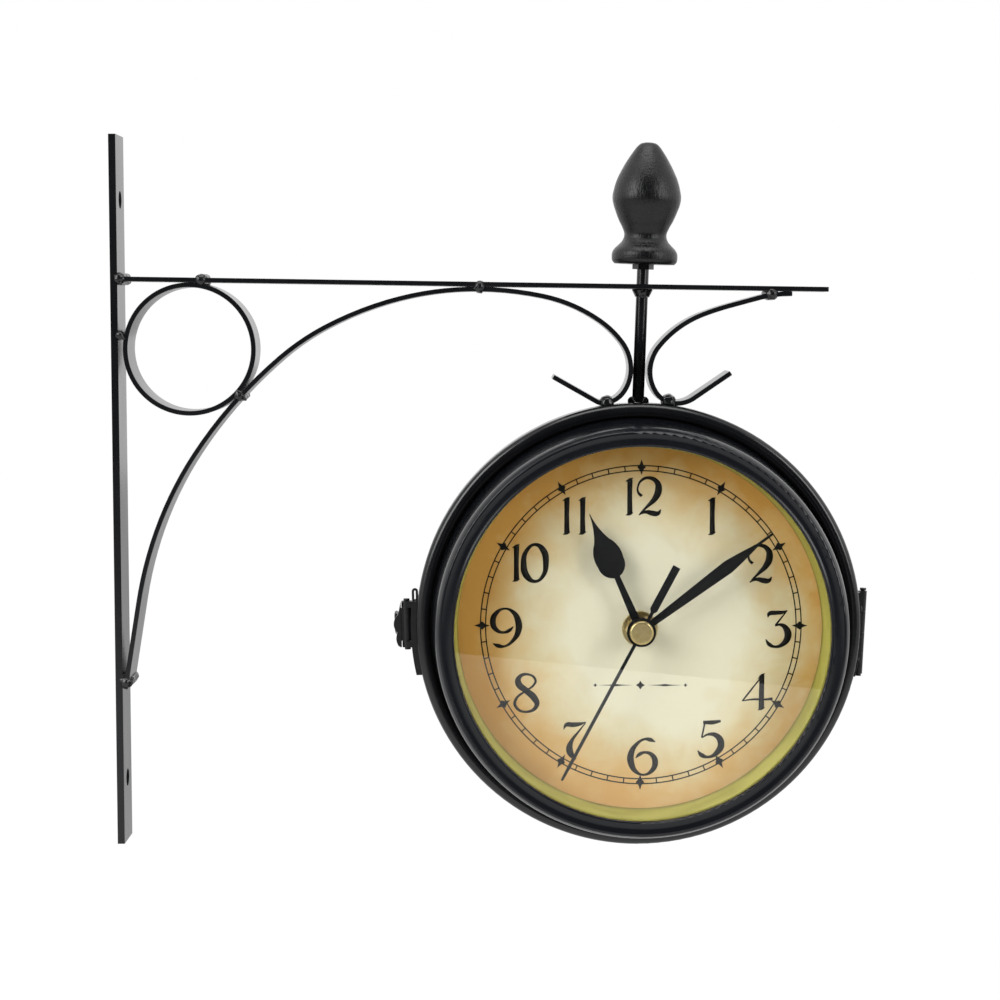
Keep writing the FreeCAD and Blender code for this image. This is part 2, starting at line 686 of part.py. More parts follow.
def movement_case():
    """Moulded box behind the dial, open at the back over the battery."""
    front = -DIAL_Y + DIAL_T + SEAT
    back = front + CASE_T
    half = CASE_SIDE / 2
    box = block(-half, half, front, back, -CASE_DROP - half, -CASE_DROP + half)
    corners = [edge for edge in box.Edges if abs(edge.tangentAt(edge.FirstParameter).y) > 0.99]
    box = box.makeFillet(CASE_CORNER, corners)
    y, z = battery_axis()
    bay_r = BATTERY_R + BAY_CLEAR
    bay_half = BATTERY_LENGTH / 2 + BAY_CLEAR
    bay = rod(bay_r, V(-bay_half, y, z), V(bay_half, y, z))
    mouth = block(-bay_half, bay_half, y, back + 1, z - bay_r, z + bay_r)
    collar = disc(BUSH_R + SEAT, front - 1, front + 3)
    shafts = disc(HOUR_TUBE_R + 2 * RUN, front, -HOUR_TUBE_BACK + 0.5)
    inner = disc(MINUTE_ARBOR_R + 2 * RUN, front, -MINUTE_ARBOR_BACK + 0.5)
    tail = disc(SECOND_ARBOR_R + RUN, front, -SECOND_ARBOR_BACK + 0.5)
    knob_x, knob_z = KNOB_AT
    stem = disc(KNOB_STEM_R + RUN, back - KNOB_STEM - 0.5, back + 1, knob_x, knob_z)
    top = half - CASE_DROP
    grooves = [block(x, x + GROOVE_WIDTH, back - GROOVE_DEPTH, back + 1, top - GROOVE_LOW,
                     top - GROOVE_HIGH) for x in GROOVE_X]
    return box.cut([bay, mouth, collar, shafts, inner, tail, stem] + grooves)


def shaft_bush():
    """Threaded bush of the movement, through the dial."""
    back = -DIAL_Y + DIAL_T + SEAT + 2.8
    tube = turned((HOUR_TUBE_R + RUN, back), (HOUR_TUBE_R + RUN, -BUSH_FRONT),
                  (BUSH_R - 0.4, -BUSH_FRONT), (BUSH_R, -BUSH_FRONT + 0.4), (BUSH_R, back))
    return tube


def dial_washer():
    """Brass washer on the dial."""
    low, high = -DIAL_Y - SEAT - WASHER_T, -DIAL_Y - SEAT
    return turned((BUSH_R + SEAT, high), (WASHER_R, high), (WASHER_R, low + 0.2),
                  (WASHER_R - 0.2, low), (BUSH_R + SEAT, low))


def dial_nut():
    """Hexagon nut that clamps the dial to the movement."""
    high = -DIAL_Y - 2 * SEAT - WASHER_T
    flats = NUT_FLATS / 2
    corners = [(flats / cos(pi / 6) * cos(pi / 3 * n), flats / cos(pi / 6) * sin(pi / 3 * n))
               for n in range(6)]
    nut = extruded(corners[0], corners[1:], high - SHAFT_NUT_T, high)
    cone = turned((0, high), (flats * 1.3, high), (flats * 1.3, high - SHAFT_NUT_T + 0.75),
                  (flats, high - SHAFT_NUT_T), (0, high - SHAFT_NUT_T))
    return nut.common(cone).cut(disc(BUSH_R + SEAT, high - SHAFT_NUT_T - 1, high + 1))


def sleeve(radius, wall, y_back, y_front):
    """Plain tube along Y with a small lead at its front."""
    return turned((radius - wall, -y_back), (radius - wall, -y_front),
                  (radius - 0.15, -y_front), (radius, -y_front + 0.3), (radius, -y_back))


def hour_tube():
    """Tube that carries the hour hand."""
    return sleeve(HOUR_TUBE_R, HOUR_TUBE_WALL, HOUR_TUBE_BACK, HOUR_HAND_Y + HAND_T + 0.4)


def minute_arbor():
    """Hollow arbor that carries the minute hand."""
    return sleeve(MINUTE_ARBOR_R, MINUTE_ARBOR_WALL, MINUTE_ARBOR_BACK,
                  MINUTE_HAND_Y + HAND_T + 0.4)


def second_arbor():
    """Thin arbor that carries the second hand."""
    end = SECOND_HAND_Y + HAND_T + 0.9
    return turned((0, -SECOND_ARBOR_BACK), (SECOND_ARBOR_R, -SECOND_ARBOR_BACK),
                  (SECOND_ARBOR_R, -end + 0.2), (SECOND_ARBOR_R - 0.2, -end), (0, -end))


def setting_knob():
    """Notched thumb wheel at the back of the movement."""
    back = -DIAL_Y + DIAL_T + SEAT + CASE_T
    low = back + CLEAR
    knob = joined([disc(KNOB_R, low, low + KNOB_T), disc(KNOB_STEM_R, back - KNOB_STEM, low + 0.1)])
    for n in range(KNOB_NOTCHES):
        way = 2 * pi * n / KNOB_NOTCHES
        knob = knob.cut(disc(KNOB_NOTCH_R, low - 1, low + KNOB_T + 1,
                             KNOB_R * cos(way), KNOB_R * sin(way)))
    knob.translate(V(KNOB_AT[0], 0, KNOB_AT[1]))
    return knob


# ================================================================ hands
def mirrored_hand(start, half, y):
    """Flat hand pointing up: the right half's steps, then the same steps mirrored back."""
    steps = list(half)
    here = start
    back = []
    for step in half:
        if isinstance(step[0], tuple):
            back.append(((-step[0][0], step[0][1]), (-here[0], here[1])))
            here = step[1]
        else:
            back.append((-here[0], here[1]))
            here = step
    if abs(here[0]) > 1e-9:
        steps.append((-here[0], here[1]))
    return extruded(start, steps + back[::-1], -y - HAND_T, -y)


def hub(radius, bore, y):
    """Hub disc of a hand with its collet behind it."""
    collet = turned((0, -y), (bore + 0.9, -y), (bore + 0.7, -y + COLLET_T), (0, -y + COLLET_T))
    return [disc(radius, -y - HAND_T, -y), collet]


def finished_hand(pieces, bore, y, angle):
    """Hand in one piece, bored and turned to its place on the dial."""
    whole = joined(pieces).cut(disc(bore, -y - HAND_T - 1, -y + COLLET_T + 1))
    return turned_about(whole, angle)


def hour_hand():
    """Spade hand: stem, round blade and an ogee tip."""
    tip = HOUR_HAND
    blade = mirrored_hand((1.65, 0), [(1.1, tip * 0.46), ((3.2, tip * 0.485), (5.1, tip * 0.585)),
                                      ((5.0, tip * 0.68), (3.0, tip * 0.765)),
                                      ((1.25, tip * 0.86), (0.15, tip))], HOUR_HAND_Y)
    bore = HOUR_TUBE_R + SEAT
    return finished_hand([blade] + hub(HOUR_HUB_R, bore, HOUR_HAND_Y), bore, HOUR_HAND_Y,
                         HOUR_ANGLE)


def minute_hand():
    """Long blade that widens to two thirds and draws in to a thin tip."""
    tip = MINUTE_HAND
    blade = mirrored_hand((1.3, 0), [(1.3, tip * 0.1), (2.5, tip * 0.66),
                                     ((1.75, tip * 0.76), (0.55, tip * 0.88)),
                                     (0.45, tip - 0.4), (0.2, tip)], MINUTE_HAND_Y)
    bore = MINUTE_ARBOR_R + SEAT
    return finished_hand([blade] + hub(MINUTE_HUB_R, bore, MINUTE_HAND_Y), bore, MINUTE_HAND_Y,
                         MINUTE_ANGLE)


def second_hand():
    """Thin needle with a bar-shaped counterweight."""
    half = SECOND_WIDTH / 2
    weight = SECOND_TAIL_WIDTH / 2
    needle = mirrored_hand((weight, -SECOND_TAIL),
                           [(weight, -SECOND_TAIL_START), (half, -SECOND_TAIL_START + 1.2),
                            (half, SECOND_HAND - 6), (half * 0.7, SECOND_HAND)], SECOND_HAND_Y)
    bore = SECOND_ARBOR_R + SEAT
    return finished_hand([needle] + hub(SECOND_HUB_R, bore, SECOND_HAND_Y), bore, SECOND_HAND_Y,
                         SECOND_ANGLE)


def centre_cap():
    """Brass cap pressed on the second arbor, over the hub."""
    back = -SECOND_HAND_Y - HAND_T - SEAT
    front = back - CAP_T
    blind = back - 1.0
    return turned((0, blind), (0, front), (CAP_R - 0.9, front),
                  ((CAP_R - 0.25, front + 0.25), (CAP_R, front + 0.9)), (CAP_R, back),
                  (SECOND_ARBOR_R + SEAT, back), (SECOND_ARBOR_R + SEAT, blind))


# ================================================================ hinge
def hinge_axis():
    """Distance of the hinge pin from the drum's axis."""
    return BAND_R + KNUCKLE_GAP + BARREL_R


def knuckle_spans(first):
    """Heights of every second knuckle."""
    pitch = HINGE_HEIGHT / KNUCKLES
    low = -HINGE_HEIGHT / 2
    return [(low + n * pitch + KNUCKLE_GAP / 2, low + (n + 1) * pitch - KNUCKLE_GAP / 2)
            for n in range(first, KNUCKLES, 2)]


def curved_plate(inner_r, thickness, x_side, y_low, y_high, z_low, z_high):
    """Plate bent to the band, on the side given by the sign of x_side."""
    pipe = disc(inner_r + thickness, y_low, y_high).cut(disc(inner_r, y_low - 1, y_high + 1))
    reach = inner_r + thickness + 1
    low, high = sorted((0, x_side * reach))
    return pipe.common(block(low, high, y_low, y_high, z_low, z_high))


def rivet_holes(band_r, x_side, y, heights, radius):
    """Radial bars through plate and band at some heights."""
    bars = []
    for z in heights:
        way = asin(z / band_r)
        out = V(x_side * cos(way), 0, sin(way))
        start = out * (band_r - SHEET_T - 1)
        end = out * (band_r + 4)
        shift = V(0, y, 0)
        bars.append(rod(radius, start.add(shift), end.add(shift)))
    return bars


def rivets(band_r, x_side, y, heights, plate_t):
    """Domed rivets through a plate on the band, closed over inside it."""
    shapes = []
    for z in heights:
        way = asin(z / band_r)
        out = V(x_side * cos(way), 0, sin(way))
        inside = band_r - SHEET_T - SEAT
        outside = band_r + plate_t + 2 * SEAT
        shape = turned((0, inside - RIVET_HEAD), (RIVET_HEAD_R, inside - RIVET_HEAD),
                       (RIVET_HEAD_R, inside), (RIVET_R, inside), (RIVET_R, outside),
                       *dome(RIVET_HEAD_R, outside, RIVET_HEAD))
        shape.Placement = FreeCAD.Placement(V(0, y, 0), FreeCAD.Rotation(DEPTH, out))
        shapes.append(shape)
    return shapes


def hinge_leaf(band_r, side, first):
    """Leaf bent to one half's band, with its knuckles; side is -1 at the front, 1 at the rear."""
    near = side * (BARREL_R + KNUCKLE_GAP)
    far = side * LEAF_DEPTH
    axis = hinge_axis()
    half = HINGE_HEIGHT / 2
    y_low, y_high = sorted((near, far))
    leaf = curved_plate(band_r + SEAT, LEAF_T, 1, y_low, y_high, -half, half)
    parts = [leaf]
    web_low, web_high = sorted((side * KNUCKLE_GAP, side * (BARREL_R + KNUCKLE_GAP + 0.8)))
    for low, high in knuckle_spans(first):
        parts.append(rod(BARREL_R, V(axis, 0, low), V(axis, 0, high)))
        parts.append(block(axis - BARREL_R - 3.2, axis, web_low, web_high, low, high))
    whole = joined(parts).cut(disc(band_r + SEAT, -LEAF_DEPTH - 1, LEAF_DEPTH + 1))
    bore = rod(HINGE_PIN_R + RUN, V(axis, 0, -half - 1), V(axis, 0, half + 1))
    holes = rivet_holes(band_r, 1, side * HINGE_RIVET_Y, HINGE_RIVET_Z, RIVET_R + SEAT)
    return turned_about(whole.cut([bore] + holes), HINGE_TURN)


def hinge_pin():
    """Pin through all knuckles with a head at each end."""
    axis = hinge_axis()
    half = HINGE_HEIGHT / 2
    pin = joined([rod(HINGE_PIN_R, V(axis, 0, -half - 0.8), V(axis, 0, half + 1.0)),
                  rod(HINGE_PIN_R + 0.45, V(axis, 0, half + 0.2), V(axis, 0, half + 1.0)),
                  rod(HINGE_PIN_R + 0.35, V(axis, 0, -half - 0.8), V(axis, 0, -half - 0.2))])
    return turned_about(pin, HINGE_TURN)


def barrel_room():
    """Room that both halves leave round the barrel."""
    half = HINGE_HEIGHT / 2 + CLEAR
    axis = hinge_axis()
    return turned_about(rod(BARREL_R + KNUCKLE_GAP, V(axis, 0, -half), V(axis, 0, half)),
                        HINGE_TURN)


# ================================================================ latch
def wire_eye(x, z):
    """Upright oval eye of the latch plate."""
    y_low, y_high = EYE_Y - EYE_WIRE_R, EYE_Y + EYE_WIRE_R
    reach = (EYE_HEIGHT - EYE_WIDTH) / 2
    ovals = []
    for radius in (EYE_WIDTH / 2, EYE_WIDTH / 2 - 2 * EYE_WIRE_R):
        ovals.append(joined([disc(radius, y_low, y_high, x, z - reach),
                             disc(radius, y_low, y_high, x, z + reach),
                             block(x - radius, x + radius, y_low, y_high, z - reach, z + reach)]))
    return ovals[0].cut(ovals[1])


def latch_base():
    """Plate on the front band with two ears for the lever's pin and a small wire eye on top."""
    plate = curved_plate(BAND_R + SEAT, LATCH_PLATE_T, -1, -LATCH_PLATE_DEPTH, -SEAM - 0.4,
                         LATCH_PLATE_BOTTOM, LATCH_PLATE_TOP)
    pin_x = -BAND_R - LATCH_PIN_X
    flange = curved_plate(BAND_R + SEAT, LATCH_FLANGE, -1, -LATCH_PLATE_DEPTH,
                          -LATCH_PLATE_DEPTH + LATCH_FLANGE_T, LATCH_PLATE_BOTTOM, EAR_TOP)
    parts = [plate, flange]
    for low in (EAR_TOP - EAR_T, EAR_BOTTOM):
        parts.append(rod(EAR_R, V(pin_x, LATCH_PIN_Y, low), V(pin_x, LATCH_PIN_Y, low + EAR_T)))
        parts.append(block(pin_x, -BAND_R + 2, LATCH_PIN_Y - EAR_R, LATCH_PIN_Y + EAR_R,
                           low, low + EAR_T))
    parts.append(wire_eye(-BAND_R - LATCH_PLATE_T + EYE_WIDTH / 2 - 0.4,
                          LATCH_PLATE_TOP + EYE_HEIGHT / 2 - 0.6))
    body = joined(parts).cut(disc(BAND_R + SEAT, -STRIP_WIDTH, STRIP_WIDTH))
    bore = rod(LATCH_PIN_R + SEAT, V(pin_x, LATCH_PIN_Y, EAR_BOTTOM - 1),
               V(pin_x, LATCH_PIN_Y, EAR_TOP + 1))
    holes = rivet_holes(BAND_R, -1, -LATCH_PLATE_DEPTH / 2, (LATCH_RIVET_Z,), RIVET_R + SEAT)
    return turned_about(body.cut([bore] + holes), LATCH_TURN)


def latch_pin():
    """Pin of the lever, headed at both ends."""
    x = -BAND_R - LATCH_PIN_X
    pin = joined([rod(LATCH_PIN_R, V(x, LATCH_PIN_Y, EAR_BOTTOM - 0.9),
                      V(x, LATCH_PIN_Y, EAR_TOP + 0.9)),
                  rod(LATCH_PIN_R + 0.4, V(x, LATCH_PIN_Y, EAR_TOP + SEAT),
                      V(x, LATCH_PIN_Y, EAR_TOP + 0.9)),
                  rod(LATCH_PIN_R + 0.4, V(x, LATCH_PIN_Y, EAR_BOTTOM - 0.9),
                      V(x, LATCH_PIN_Y, EAR_BOTTOM - SEAT))])
    return turned_about(pin, LATCH_TURN)


def loop_pivot():
    """Place of the loop's pivot bar, x and y."""
    return -BAND_R - LOOP_OUT, LOOP_Y


def latch_lever():
    """Thumb lever: a barrel on the pin and a two-lobed grip."""
    pin_x = -BAND_R - LATCH_PIN_X
    out = -BAND_R - LEVER_REACH
    low, high = EAR_BOTTOM + EAR_T + KNUCKLE_GAP, EAR_TOP - EAR_T - KNUCKLE_GAP
    inner = pin_x - EAR_R - CLEAR
    grip = extruded((inner, EAR_TOP - 0.5),
                    [(out + 1.7, 5.9), ((out, 2.9), (out + 1.35, -0.9)),
                     ((out + 0.8, -3.4), (out + 1.6, EAR_BOTTOM + 0.6)), (inner, EAR_BOTTOM)],
                    LATCH_PIN_Y - LEVER_WIDTH / 2, LATCH_PIN_Y + LEVER_WIDTH / 2)
    barrel = rod(EAR_R - 0.2, V(pin_x, LATCH_PIN_Y, low), V(pin_x, LATCH_PIN_Y, high))
    neck = block(out + 2.6, pin_x, LATCH_PIN_Y - 1.4, LATCH_PIN_Y + 1.4, low, high)
    body = joined([barrel, neck, grip])
    below, above = 2 * EAR_BOTTOM, 2 * EAR_TOP
    bore = rod(LATCH_PIN_R + RUN, V(pin_x, LATCH_PIN_Y, below), V(pin_x, LATCH_PIN_Y, above))
    x, y = loop_pivot()
    wire = rod(LOOP_WIRE_R + RUN, V(x, y, below), V(x, y, above))
    near = LOOP_Y - LOOP_WIRE_R - KNUCKLE_GAP
    inside = x + LOOP_WIRE_R + CLEAR
    legs = []
    for side in (-1, 1):
        leg = LOOP_Z + side * LOOP_HEIGHT / 2
        span = sorted((leg + side * (LOOP_WIRE_R + LEG_ROOM), leg - side * (LOOP_CORNER + LEG_ROOM)))
        legs.append(block(out - 1, inside, near, 0, *span))
    return turned_about(body.cut([bore, wire] + legs), LATCH_TURN)


def latch_loop():
    """Wire loop from the lever across the seam, standing just off its hook."""
    x, y = loop_pivot()
    low, high = LOOP_Z - LOOP_HEIGHT / 2, LOOP_Z + LOOP_HEIGHT / 2
    near, far = y, y + LOOP_LENGTH
    corner = LOOP_CORNER
    points = [(near, low), (near, high), (far, high), (far, low)]
    bars = [rod(LOOP_WIRE_R, V(x, near, low + corner), V(x, near, high - corner)),
            rod(LOOP_WIRE_R, V(x, far, low + corner), V(x, far, high - corner)),
            rod(LOOP_WIRE_R, V(x, near + corner, low), V(x, far - corner, low)),
            rod(LOOP_WIRE_R, V(x, near + corner, high), V(x, far - corner, high))]
    for at_y, at_z in points:
        side_y = 1 if at_y == near else -1
        side_z = 1 if at_z == low else -1
        centre = V(x, at_y + side_y * corner, at_z + side_z * corner)
        ring = Part.makeTorus(corner, LOOP_WIRE_R, centre, V(1, 0, 0))
        reach = corner + LOOP_WIRE_R
        y_span = sorted((centre.y, centre.y - side_y * reach))
        z_span = sorted((centre.z, centre.z - side_z * reach))
        bars.append(ring.common(block(x - 1, x + 1, *y_span, *z_span)))
    loop = turned_about(joined(bars), LOOP_OPEN, UP, V(x, y, 0))
    return turned_about(loop, LATCH_TURN)


def latch_strike():
    """Plate on the rear band with the hook for the loop."""
    half = STRIKE_HEIGHT / 2
    plate = curved_plate(REAR_BAND_R + SEAT, LATCH_PLATE_T, -1, SEAM + 0.6, STRIKE_DEPTH,
                         LOOP_Z - half, LOOP_Z + half)
    x = -REAR_BAND_R - HOOK_OUT
    stem = block(x, -REAR_BAND_R + 2, HOOK_Y - HOOK_T, HOOK_Y,
                 LOOP_Z - HOOK_WIDTH / 2, LOOP_Z + HOOK_WIDTH / 2)
    nose = block(x, x + HOOK_T, HOOK_Y - HOOK_T, HOOK_Y + 1.3,
                 LOOP_Z - HOOK_WIDTH / 2, LOOP_Z + HOOK_WIDTH / 2)
    body = joined([plate, stem, nose]).cut(disc(REAR_BAND_R + SEAT, -STRIP_WIDTH, STRIP_WIDTH))
    holes = rivet_holes(REAR_BAND_R, -1, STRIKE_DEPTH / 2, strike_rivets(), RIVET_R + SEAT)
    return turned_about(body.cut(holes), LATCH_TURN)


def strike_rivets():
    """Heights of the strike's two rivets."""
    return (LOOP_Z - STRIKE_HEIGHT / 2 + 2.2, LOOP_Z + STRIKE_HEIGHT / 2 - 2.2)


def front_rivets():
    """Rivets of the front hinge leaf and of the latch base."""
    hinge = [turned_about(shape, HINGE_TURN) for shape in
             rivets(BAND_R, 1, -HINGE_RIVET_Y, HINGE_RIVET_Z, LEAF_T)]
    latch = [turned_about(shape, LATCH_TURN) for shape in
             rivets(BAND_R, -1, -LATCH_PLATE_DEPTH / 2, (LATCH_RIVET_Z,), LATCH_PLATE_T)]
    return Part.makeCompound(hinge + latch)


def rear_rivets():
    """Rivets of the rear hinge leaf and of the strike."""
    hinge = [turned_about(shape, HINGE_TURN) for shape in
             rivets(REAR_BAND_R, 1, HINGE_RIVET_Y, HINGE_RIVET_Z, LEAF_T)]
    latch = [turned_about(shape, LATCH_TURN) for shape in
             rivets(REAR_BAND_R, -1, STRIKE_DEPTH / 2, strike_rivets(), LATCH_PLATE_T)]
    return Part.makeCompound(hinge + latch)


def pierced_shell(shell, band_r, side, hinge_y, latch_y, latch_heights):
    """Half drum with the barrel's room and the rivet holes."""
    hinge = [turned_about(bar, HINGE_TURN) for bar in
             rivet_holes(band_r, 1, side * hinge_y, HINGE_RIVET_Z, RIVET_R + SEAT)]
    latch = [turned_about(bar, LATCH_TURN) for bar in
             rivet_holes(band_r, -1, side * latch_y, latch_heights, RIVET_R + SEAT)]
    return shell.cut([barrel_room()] + hinge + latch)


# ================================================================ assembly
def unit_pieces():
    """Pieces of one clock unit, facing -Y, that both halves share."""
    return {
        "bezel": bezel(), "glass": glass(), "spacer_ring": spacer_ring(),
        "dial_plate": dial_plate(), "dial_screws": dial_screws(),
        "movement_case": movement_case(), "battery": battery(), "shaft_bush": shaft_bush(),
        "dial_washer": dial_washer(), "dial_nut": dial_nut(), "hour_tube": hour_tube(),
        "minute_arbor": minute_arbor(), "second_arbor": second_arbor(),
        "setting_knob": setting_knob(), "hour_hand": hour_hand(),
        "minute_hand": minute_hand(), "second_hand": second_hand(), "centre_cap": centre_cap(),
    }


def bracket_pieces():
    """Strips, post and finial, then the welds cut to them and to the front drum."""
    pieces = {"wall_plate": wall_plate(), "top_arm": top_arm(), "scroll_ring": scroll_ring(),
              "long_brace": long_brace(), "outer_scroll": outer_scroll(),
              "hanger_post": post_rod(POST_R), "finial": finial(), "finial_nut": finial_nut()}
    strips = ("wall_plate", "top_arm", "scroll_ring", "long_brace", "outer_scroll", "hanger_post")
    welded = [pieces[name] for name in strips] + [on_clock(drum_envelope())]
    pieces["weld_beads"] = weld_beads(welded)
    return pieces


def clock_pieces():
    """Both halves of the drum with their units, the hinge and the latch."""
    pieces = {}
    for name, shape in unit_pieces().items():
        pieces["front_" + name] = shape
        pieces["rear_" + name] = turned_about(shape, 180, UP)
    rear_shell = turned_about(drum_shell(REAR_BAND_R), 180, UP)
    pieces["front_drum_shell"] = pierced_shell(drum_shell(BAND_R), BAND_R, -1, HINGE_RIVET_Y,
                                               LATCH_PLATE_DEPTH / 2, (LATCH_RIVET_Z,))
    pieces["rear_drum_shell"] = pierced_shell(rear_shell, REAR_BAND_R, 1, HINGE_RIVET_Y,
                                              STRIKE_DEPTH / 2, strike_rivets())
    pieces["hinge_leaf_front"] = hinge_leaf(BAND_R, -1, 1)
    pieces["hinge_leaf_rear"] = hinge_leaf(REAR_BAND_R, 1, 0)
    pieces["hinge_pin"] = hinge_pin()
    pieces["latch_base"] = latch_base()
    pieces["latch_pin"] = latch_pin()
    pieces["latch_lever"] = latch_lever()
    pieces["latch_loop"] = latch_loop()
    pieces["latch_strike"] = latch_strike()
    pieces["front_rivets"] = front_rivets()
    pieces["rear_rivets"] = rear_rivets()
    return {name: on_clock(shape) for name, shape in pieces.items()}


def main():
    """Build every piece and write one STEP file for each."""
    os.makedirs("parts", exist_ok=True)
    pieces = {**bracket_pieces(), **clock_pieces()}
    for name, shape in pieces.items():
        shape.exportStep(os.path.join("parts", name + ".step"))
        print(name, "solids", len(shape.Solids), "valid", shape.isValid(),
              "volume", round(shape.Volume, 1))


main()
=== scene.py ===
"""Looks of the double sided station clock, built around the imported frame, in metres."""

import json
import logging
import math
import random
from dataclasses import dataclass, field
from enum import Enum

import bpy
from mathutils import Matrix, Vector


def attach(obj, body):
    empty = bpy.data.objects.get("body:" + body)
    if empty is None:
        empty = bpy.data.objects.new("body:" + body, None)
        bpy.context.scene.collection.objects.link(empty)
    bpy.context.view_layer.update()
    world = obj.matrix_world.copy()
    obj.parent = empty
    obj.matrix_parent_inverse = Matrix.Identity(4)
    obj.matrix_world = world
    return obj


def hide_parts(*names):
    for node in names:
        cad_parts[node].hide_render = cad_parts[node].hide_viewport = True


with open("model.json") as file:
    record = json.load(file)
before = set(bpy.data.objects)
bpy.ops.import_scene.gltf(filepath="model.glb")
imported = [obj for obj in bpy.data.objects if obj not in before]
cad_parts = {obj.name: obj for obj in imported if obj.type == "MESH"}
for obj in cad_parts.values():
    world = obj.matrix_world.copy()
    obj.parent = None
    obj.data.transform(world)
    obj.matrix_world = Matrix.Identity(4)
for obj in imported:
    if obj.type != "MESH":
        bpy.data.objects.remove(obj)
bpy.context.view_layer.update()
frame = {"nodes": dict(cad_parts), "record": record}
LOG = logging.getLogger("station_clock")
MM = 0.001
UPRIGHT = (math.radians(90), 0, 0)

Colour = tuple[float, float, float]
Point = tuple[float, float, float]
Stroke = tuple[Point, ...]
Socket = bpy.types.NodeSocket
Piece = bpy.types.Object
Material = bpy.types.Material


def swatch(red: int, green: int, blue: int) -> Colour:
    """Linear colour of a swatch.

    Args:
        red: red of the swatch, 0 to 255.
        green: green of the swatch, 0 to 255.
        blue: blue of the swatch, 0 to 255.

    Returns:
        The colour as a shader reads it.
    """
    def linear(value: int) -> float:
        """Linear value of one channel."""
        part = value / 255
        return part / 12.92 if part < 0.04045 else ((part + 0.055) / 1.055) ** 2.4

    return linear(red), linear(green), linear(blue)


class Half(Enum):
    """The two halves of the drum."""

    FRONT = "front"
    REAR = "rear"


class Across(Enum):
    """Which way the fine lines of a finish run."""

    ROUND = "round"
    ALONG = "along"


# ---------------- meshes
def only(piece: Piece) -> Piece:
    """Select one piece alone and make it active.

    Args:
        piece: the piece to work on.

    Returns:
        The same piece.
    """
    if bpy.context.object and bpy.context.object.mode != "OBJECT":
        bpy.ops.object.mode_set(mode="OBJECT")
    bpy.ops.object.select_all(action="DESELECT")
    piece.hide_set(False)
    piece.select_set(True)
    bpy.context.view_layer.objects.active = piece
    return piece


def named(name: str) -> Piece:
    """Give the piece just added its name.

    Args:
        name: name of the object and its mesh.

    Returns:
        The active object.
    """
    piece = bpy.context.object
    piece.name = name
    piece.data.name = name
    return piece


def edit(piece: Piece, select: str = "SELECT") -> None:
    """Enter edit mode on one piece.

    Args:
        piece: the piece to edit.
        select: what happens to the selection.
    """
    only(piece)
    bpy.ops.object.mode_set(mode="EDIT")
    bpy.ops.mesh.select_all(action=select)


def done() -> None:
    """Leave edit mode."""
    bpy.ops.object.mode_set(mode="OBJECT")


def settle(piece: Piece) -> Piece:
    """Move a piece's place, turn and size into its mesh.

    Args:
        piece: the piece to settle.

    Returns:
        The same piece.
    """
    only(piece)
    bpy.ops.object.transform_apply(location=True, rotation=True, scale=True)
    return piece


def join(name: str, pieces: list[Piece]) -> Piece:
    """Make one piece of several.

    Args:
        name: name of the joined piece.
        pieces: the pieces, of which the first takes in the others.

    Returns:
        The joined piece.
    """
    only(pieces[0])
    for piece in pieces[1:]:
        piece.select_set(True)
    if len(pieces) > 1:
        bpy.ops.object.join()
    return named(name)


def loose_parts(piece: Piece) -> list[Piece]:
    """Part a piece of several lumps into one piece for each.

    Args:
        piece: the piece, which is used up.

    Returns:
        The lumps.
    """
    edit(piece)
    bpy.ops.mesh.separate(type="LOOSE")
    done()
    return list(bpy.context.selected_objects)


def smooth_line(data: bpy.types.Curve, places: list[Point]) -> bpy.types.Spline:
    """Draw one smooth line through a row of places.

    Args:
        data: the curve that takes the line.
        places: the places, in order.

    Returns:
        The line.
    """
    line = data.splines.new("BEZIER")
    line.bezier_points.add(len(places) - 1)
    for point, place in zip(line.bezier_points, places):
        point.co = place
        point.handle_left_type = "AUTO"
        point.handle_right_type = "AUTO"
    return line


def drawn(data: bpy.types.Curve) -> Piece:
    """Put a drawn curve in the scene, under its own name."""
    piece = bpy.data.objects.new(data.name, data)
    bpy.context.scene.collection.objects.link(piece)
    return piece


def meshed(piece: Piece) -> Piece:
    """Turn a drawn curve into a mesh."""
    only(piece)
    bpy.ops.object.convert(target="MESH")
    return bpy.context.object


def twin(piece: Piece, name: str) -> Piece:
    """Copy a piece, with a mesh of its own and no parent.

    Args:
        piece: the piece to copy.
        name: name of the copy.

    Returns:
        The copy.
    """
    copy = bpy.data.objects.new(name, piece.data.copy())
    bpy.context.scene.collection.objects.link(copy)
    copy.data.name = name
    return copy


def modify(piece: Piece, kind: str, **values: object) -> Piece:
    """Add a modifier and apply it.

    Args:
        piece: the piece to change.
        kind: Blender's name for the modifier.
        values: the modifier's settings.

    Returns:
        The same piece.
    """
    only(piece)
    modifier = piece.modifiers.new(kind.lower(), kind)
    for key, value in values.items():
        setattr(modifier, key, value)
    bpy.ops.object.modifier_apply(modifier=modifier.name)
    return piece


def smooth(piece: Piece, degrees: float = 35.0) -> Piece:
    """Shade a piece smooth up to an angle.

    Args:
        piece: the piece to shade.
        degrees: edges sharper than this stay sharp.

    Returns:
        The same piece.
    """
    only(piece)
    bpy.ops.object.shade_smooth_by_angle(angle=math.radians(degrees))
    return piece


def merged_copy(node: str, name: str) -> Piece:
    """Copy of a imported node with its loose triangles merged.

    Args:
        node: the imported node.
        name: name of the copy.

    Returns:
        The copy, closed.
    """
    piece = twin(frame["nodes"][node], name)
    piece.data.materials.clear()
    edit(piece)
    bpy.ops.mesh.remove_doubles(threshold=0.002 * MM)
    done()
    if piece.data.has_custom_normals:
        bpy.ops.mesh.customdata_custom_splitnormals_clear()
    return piece


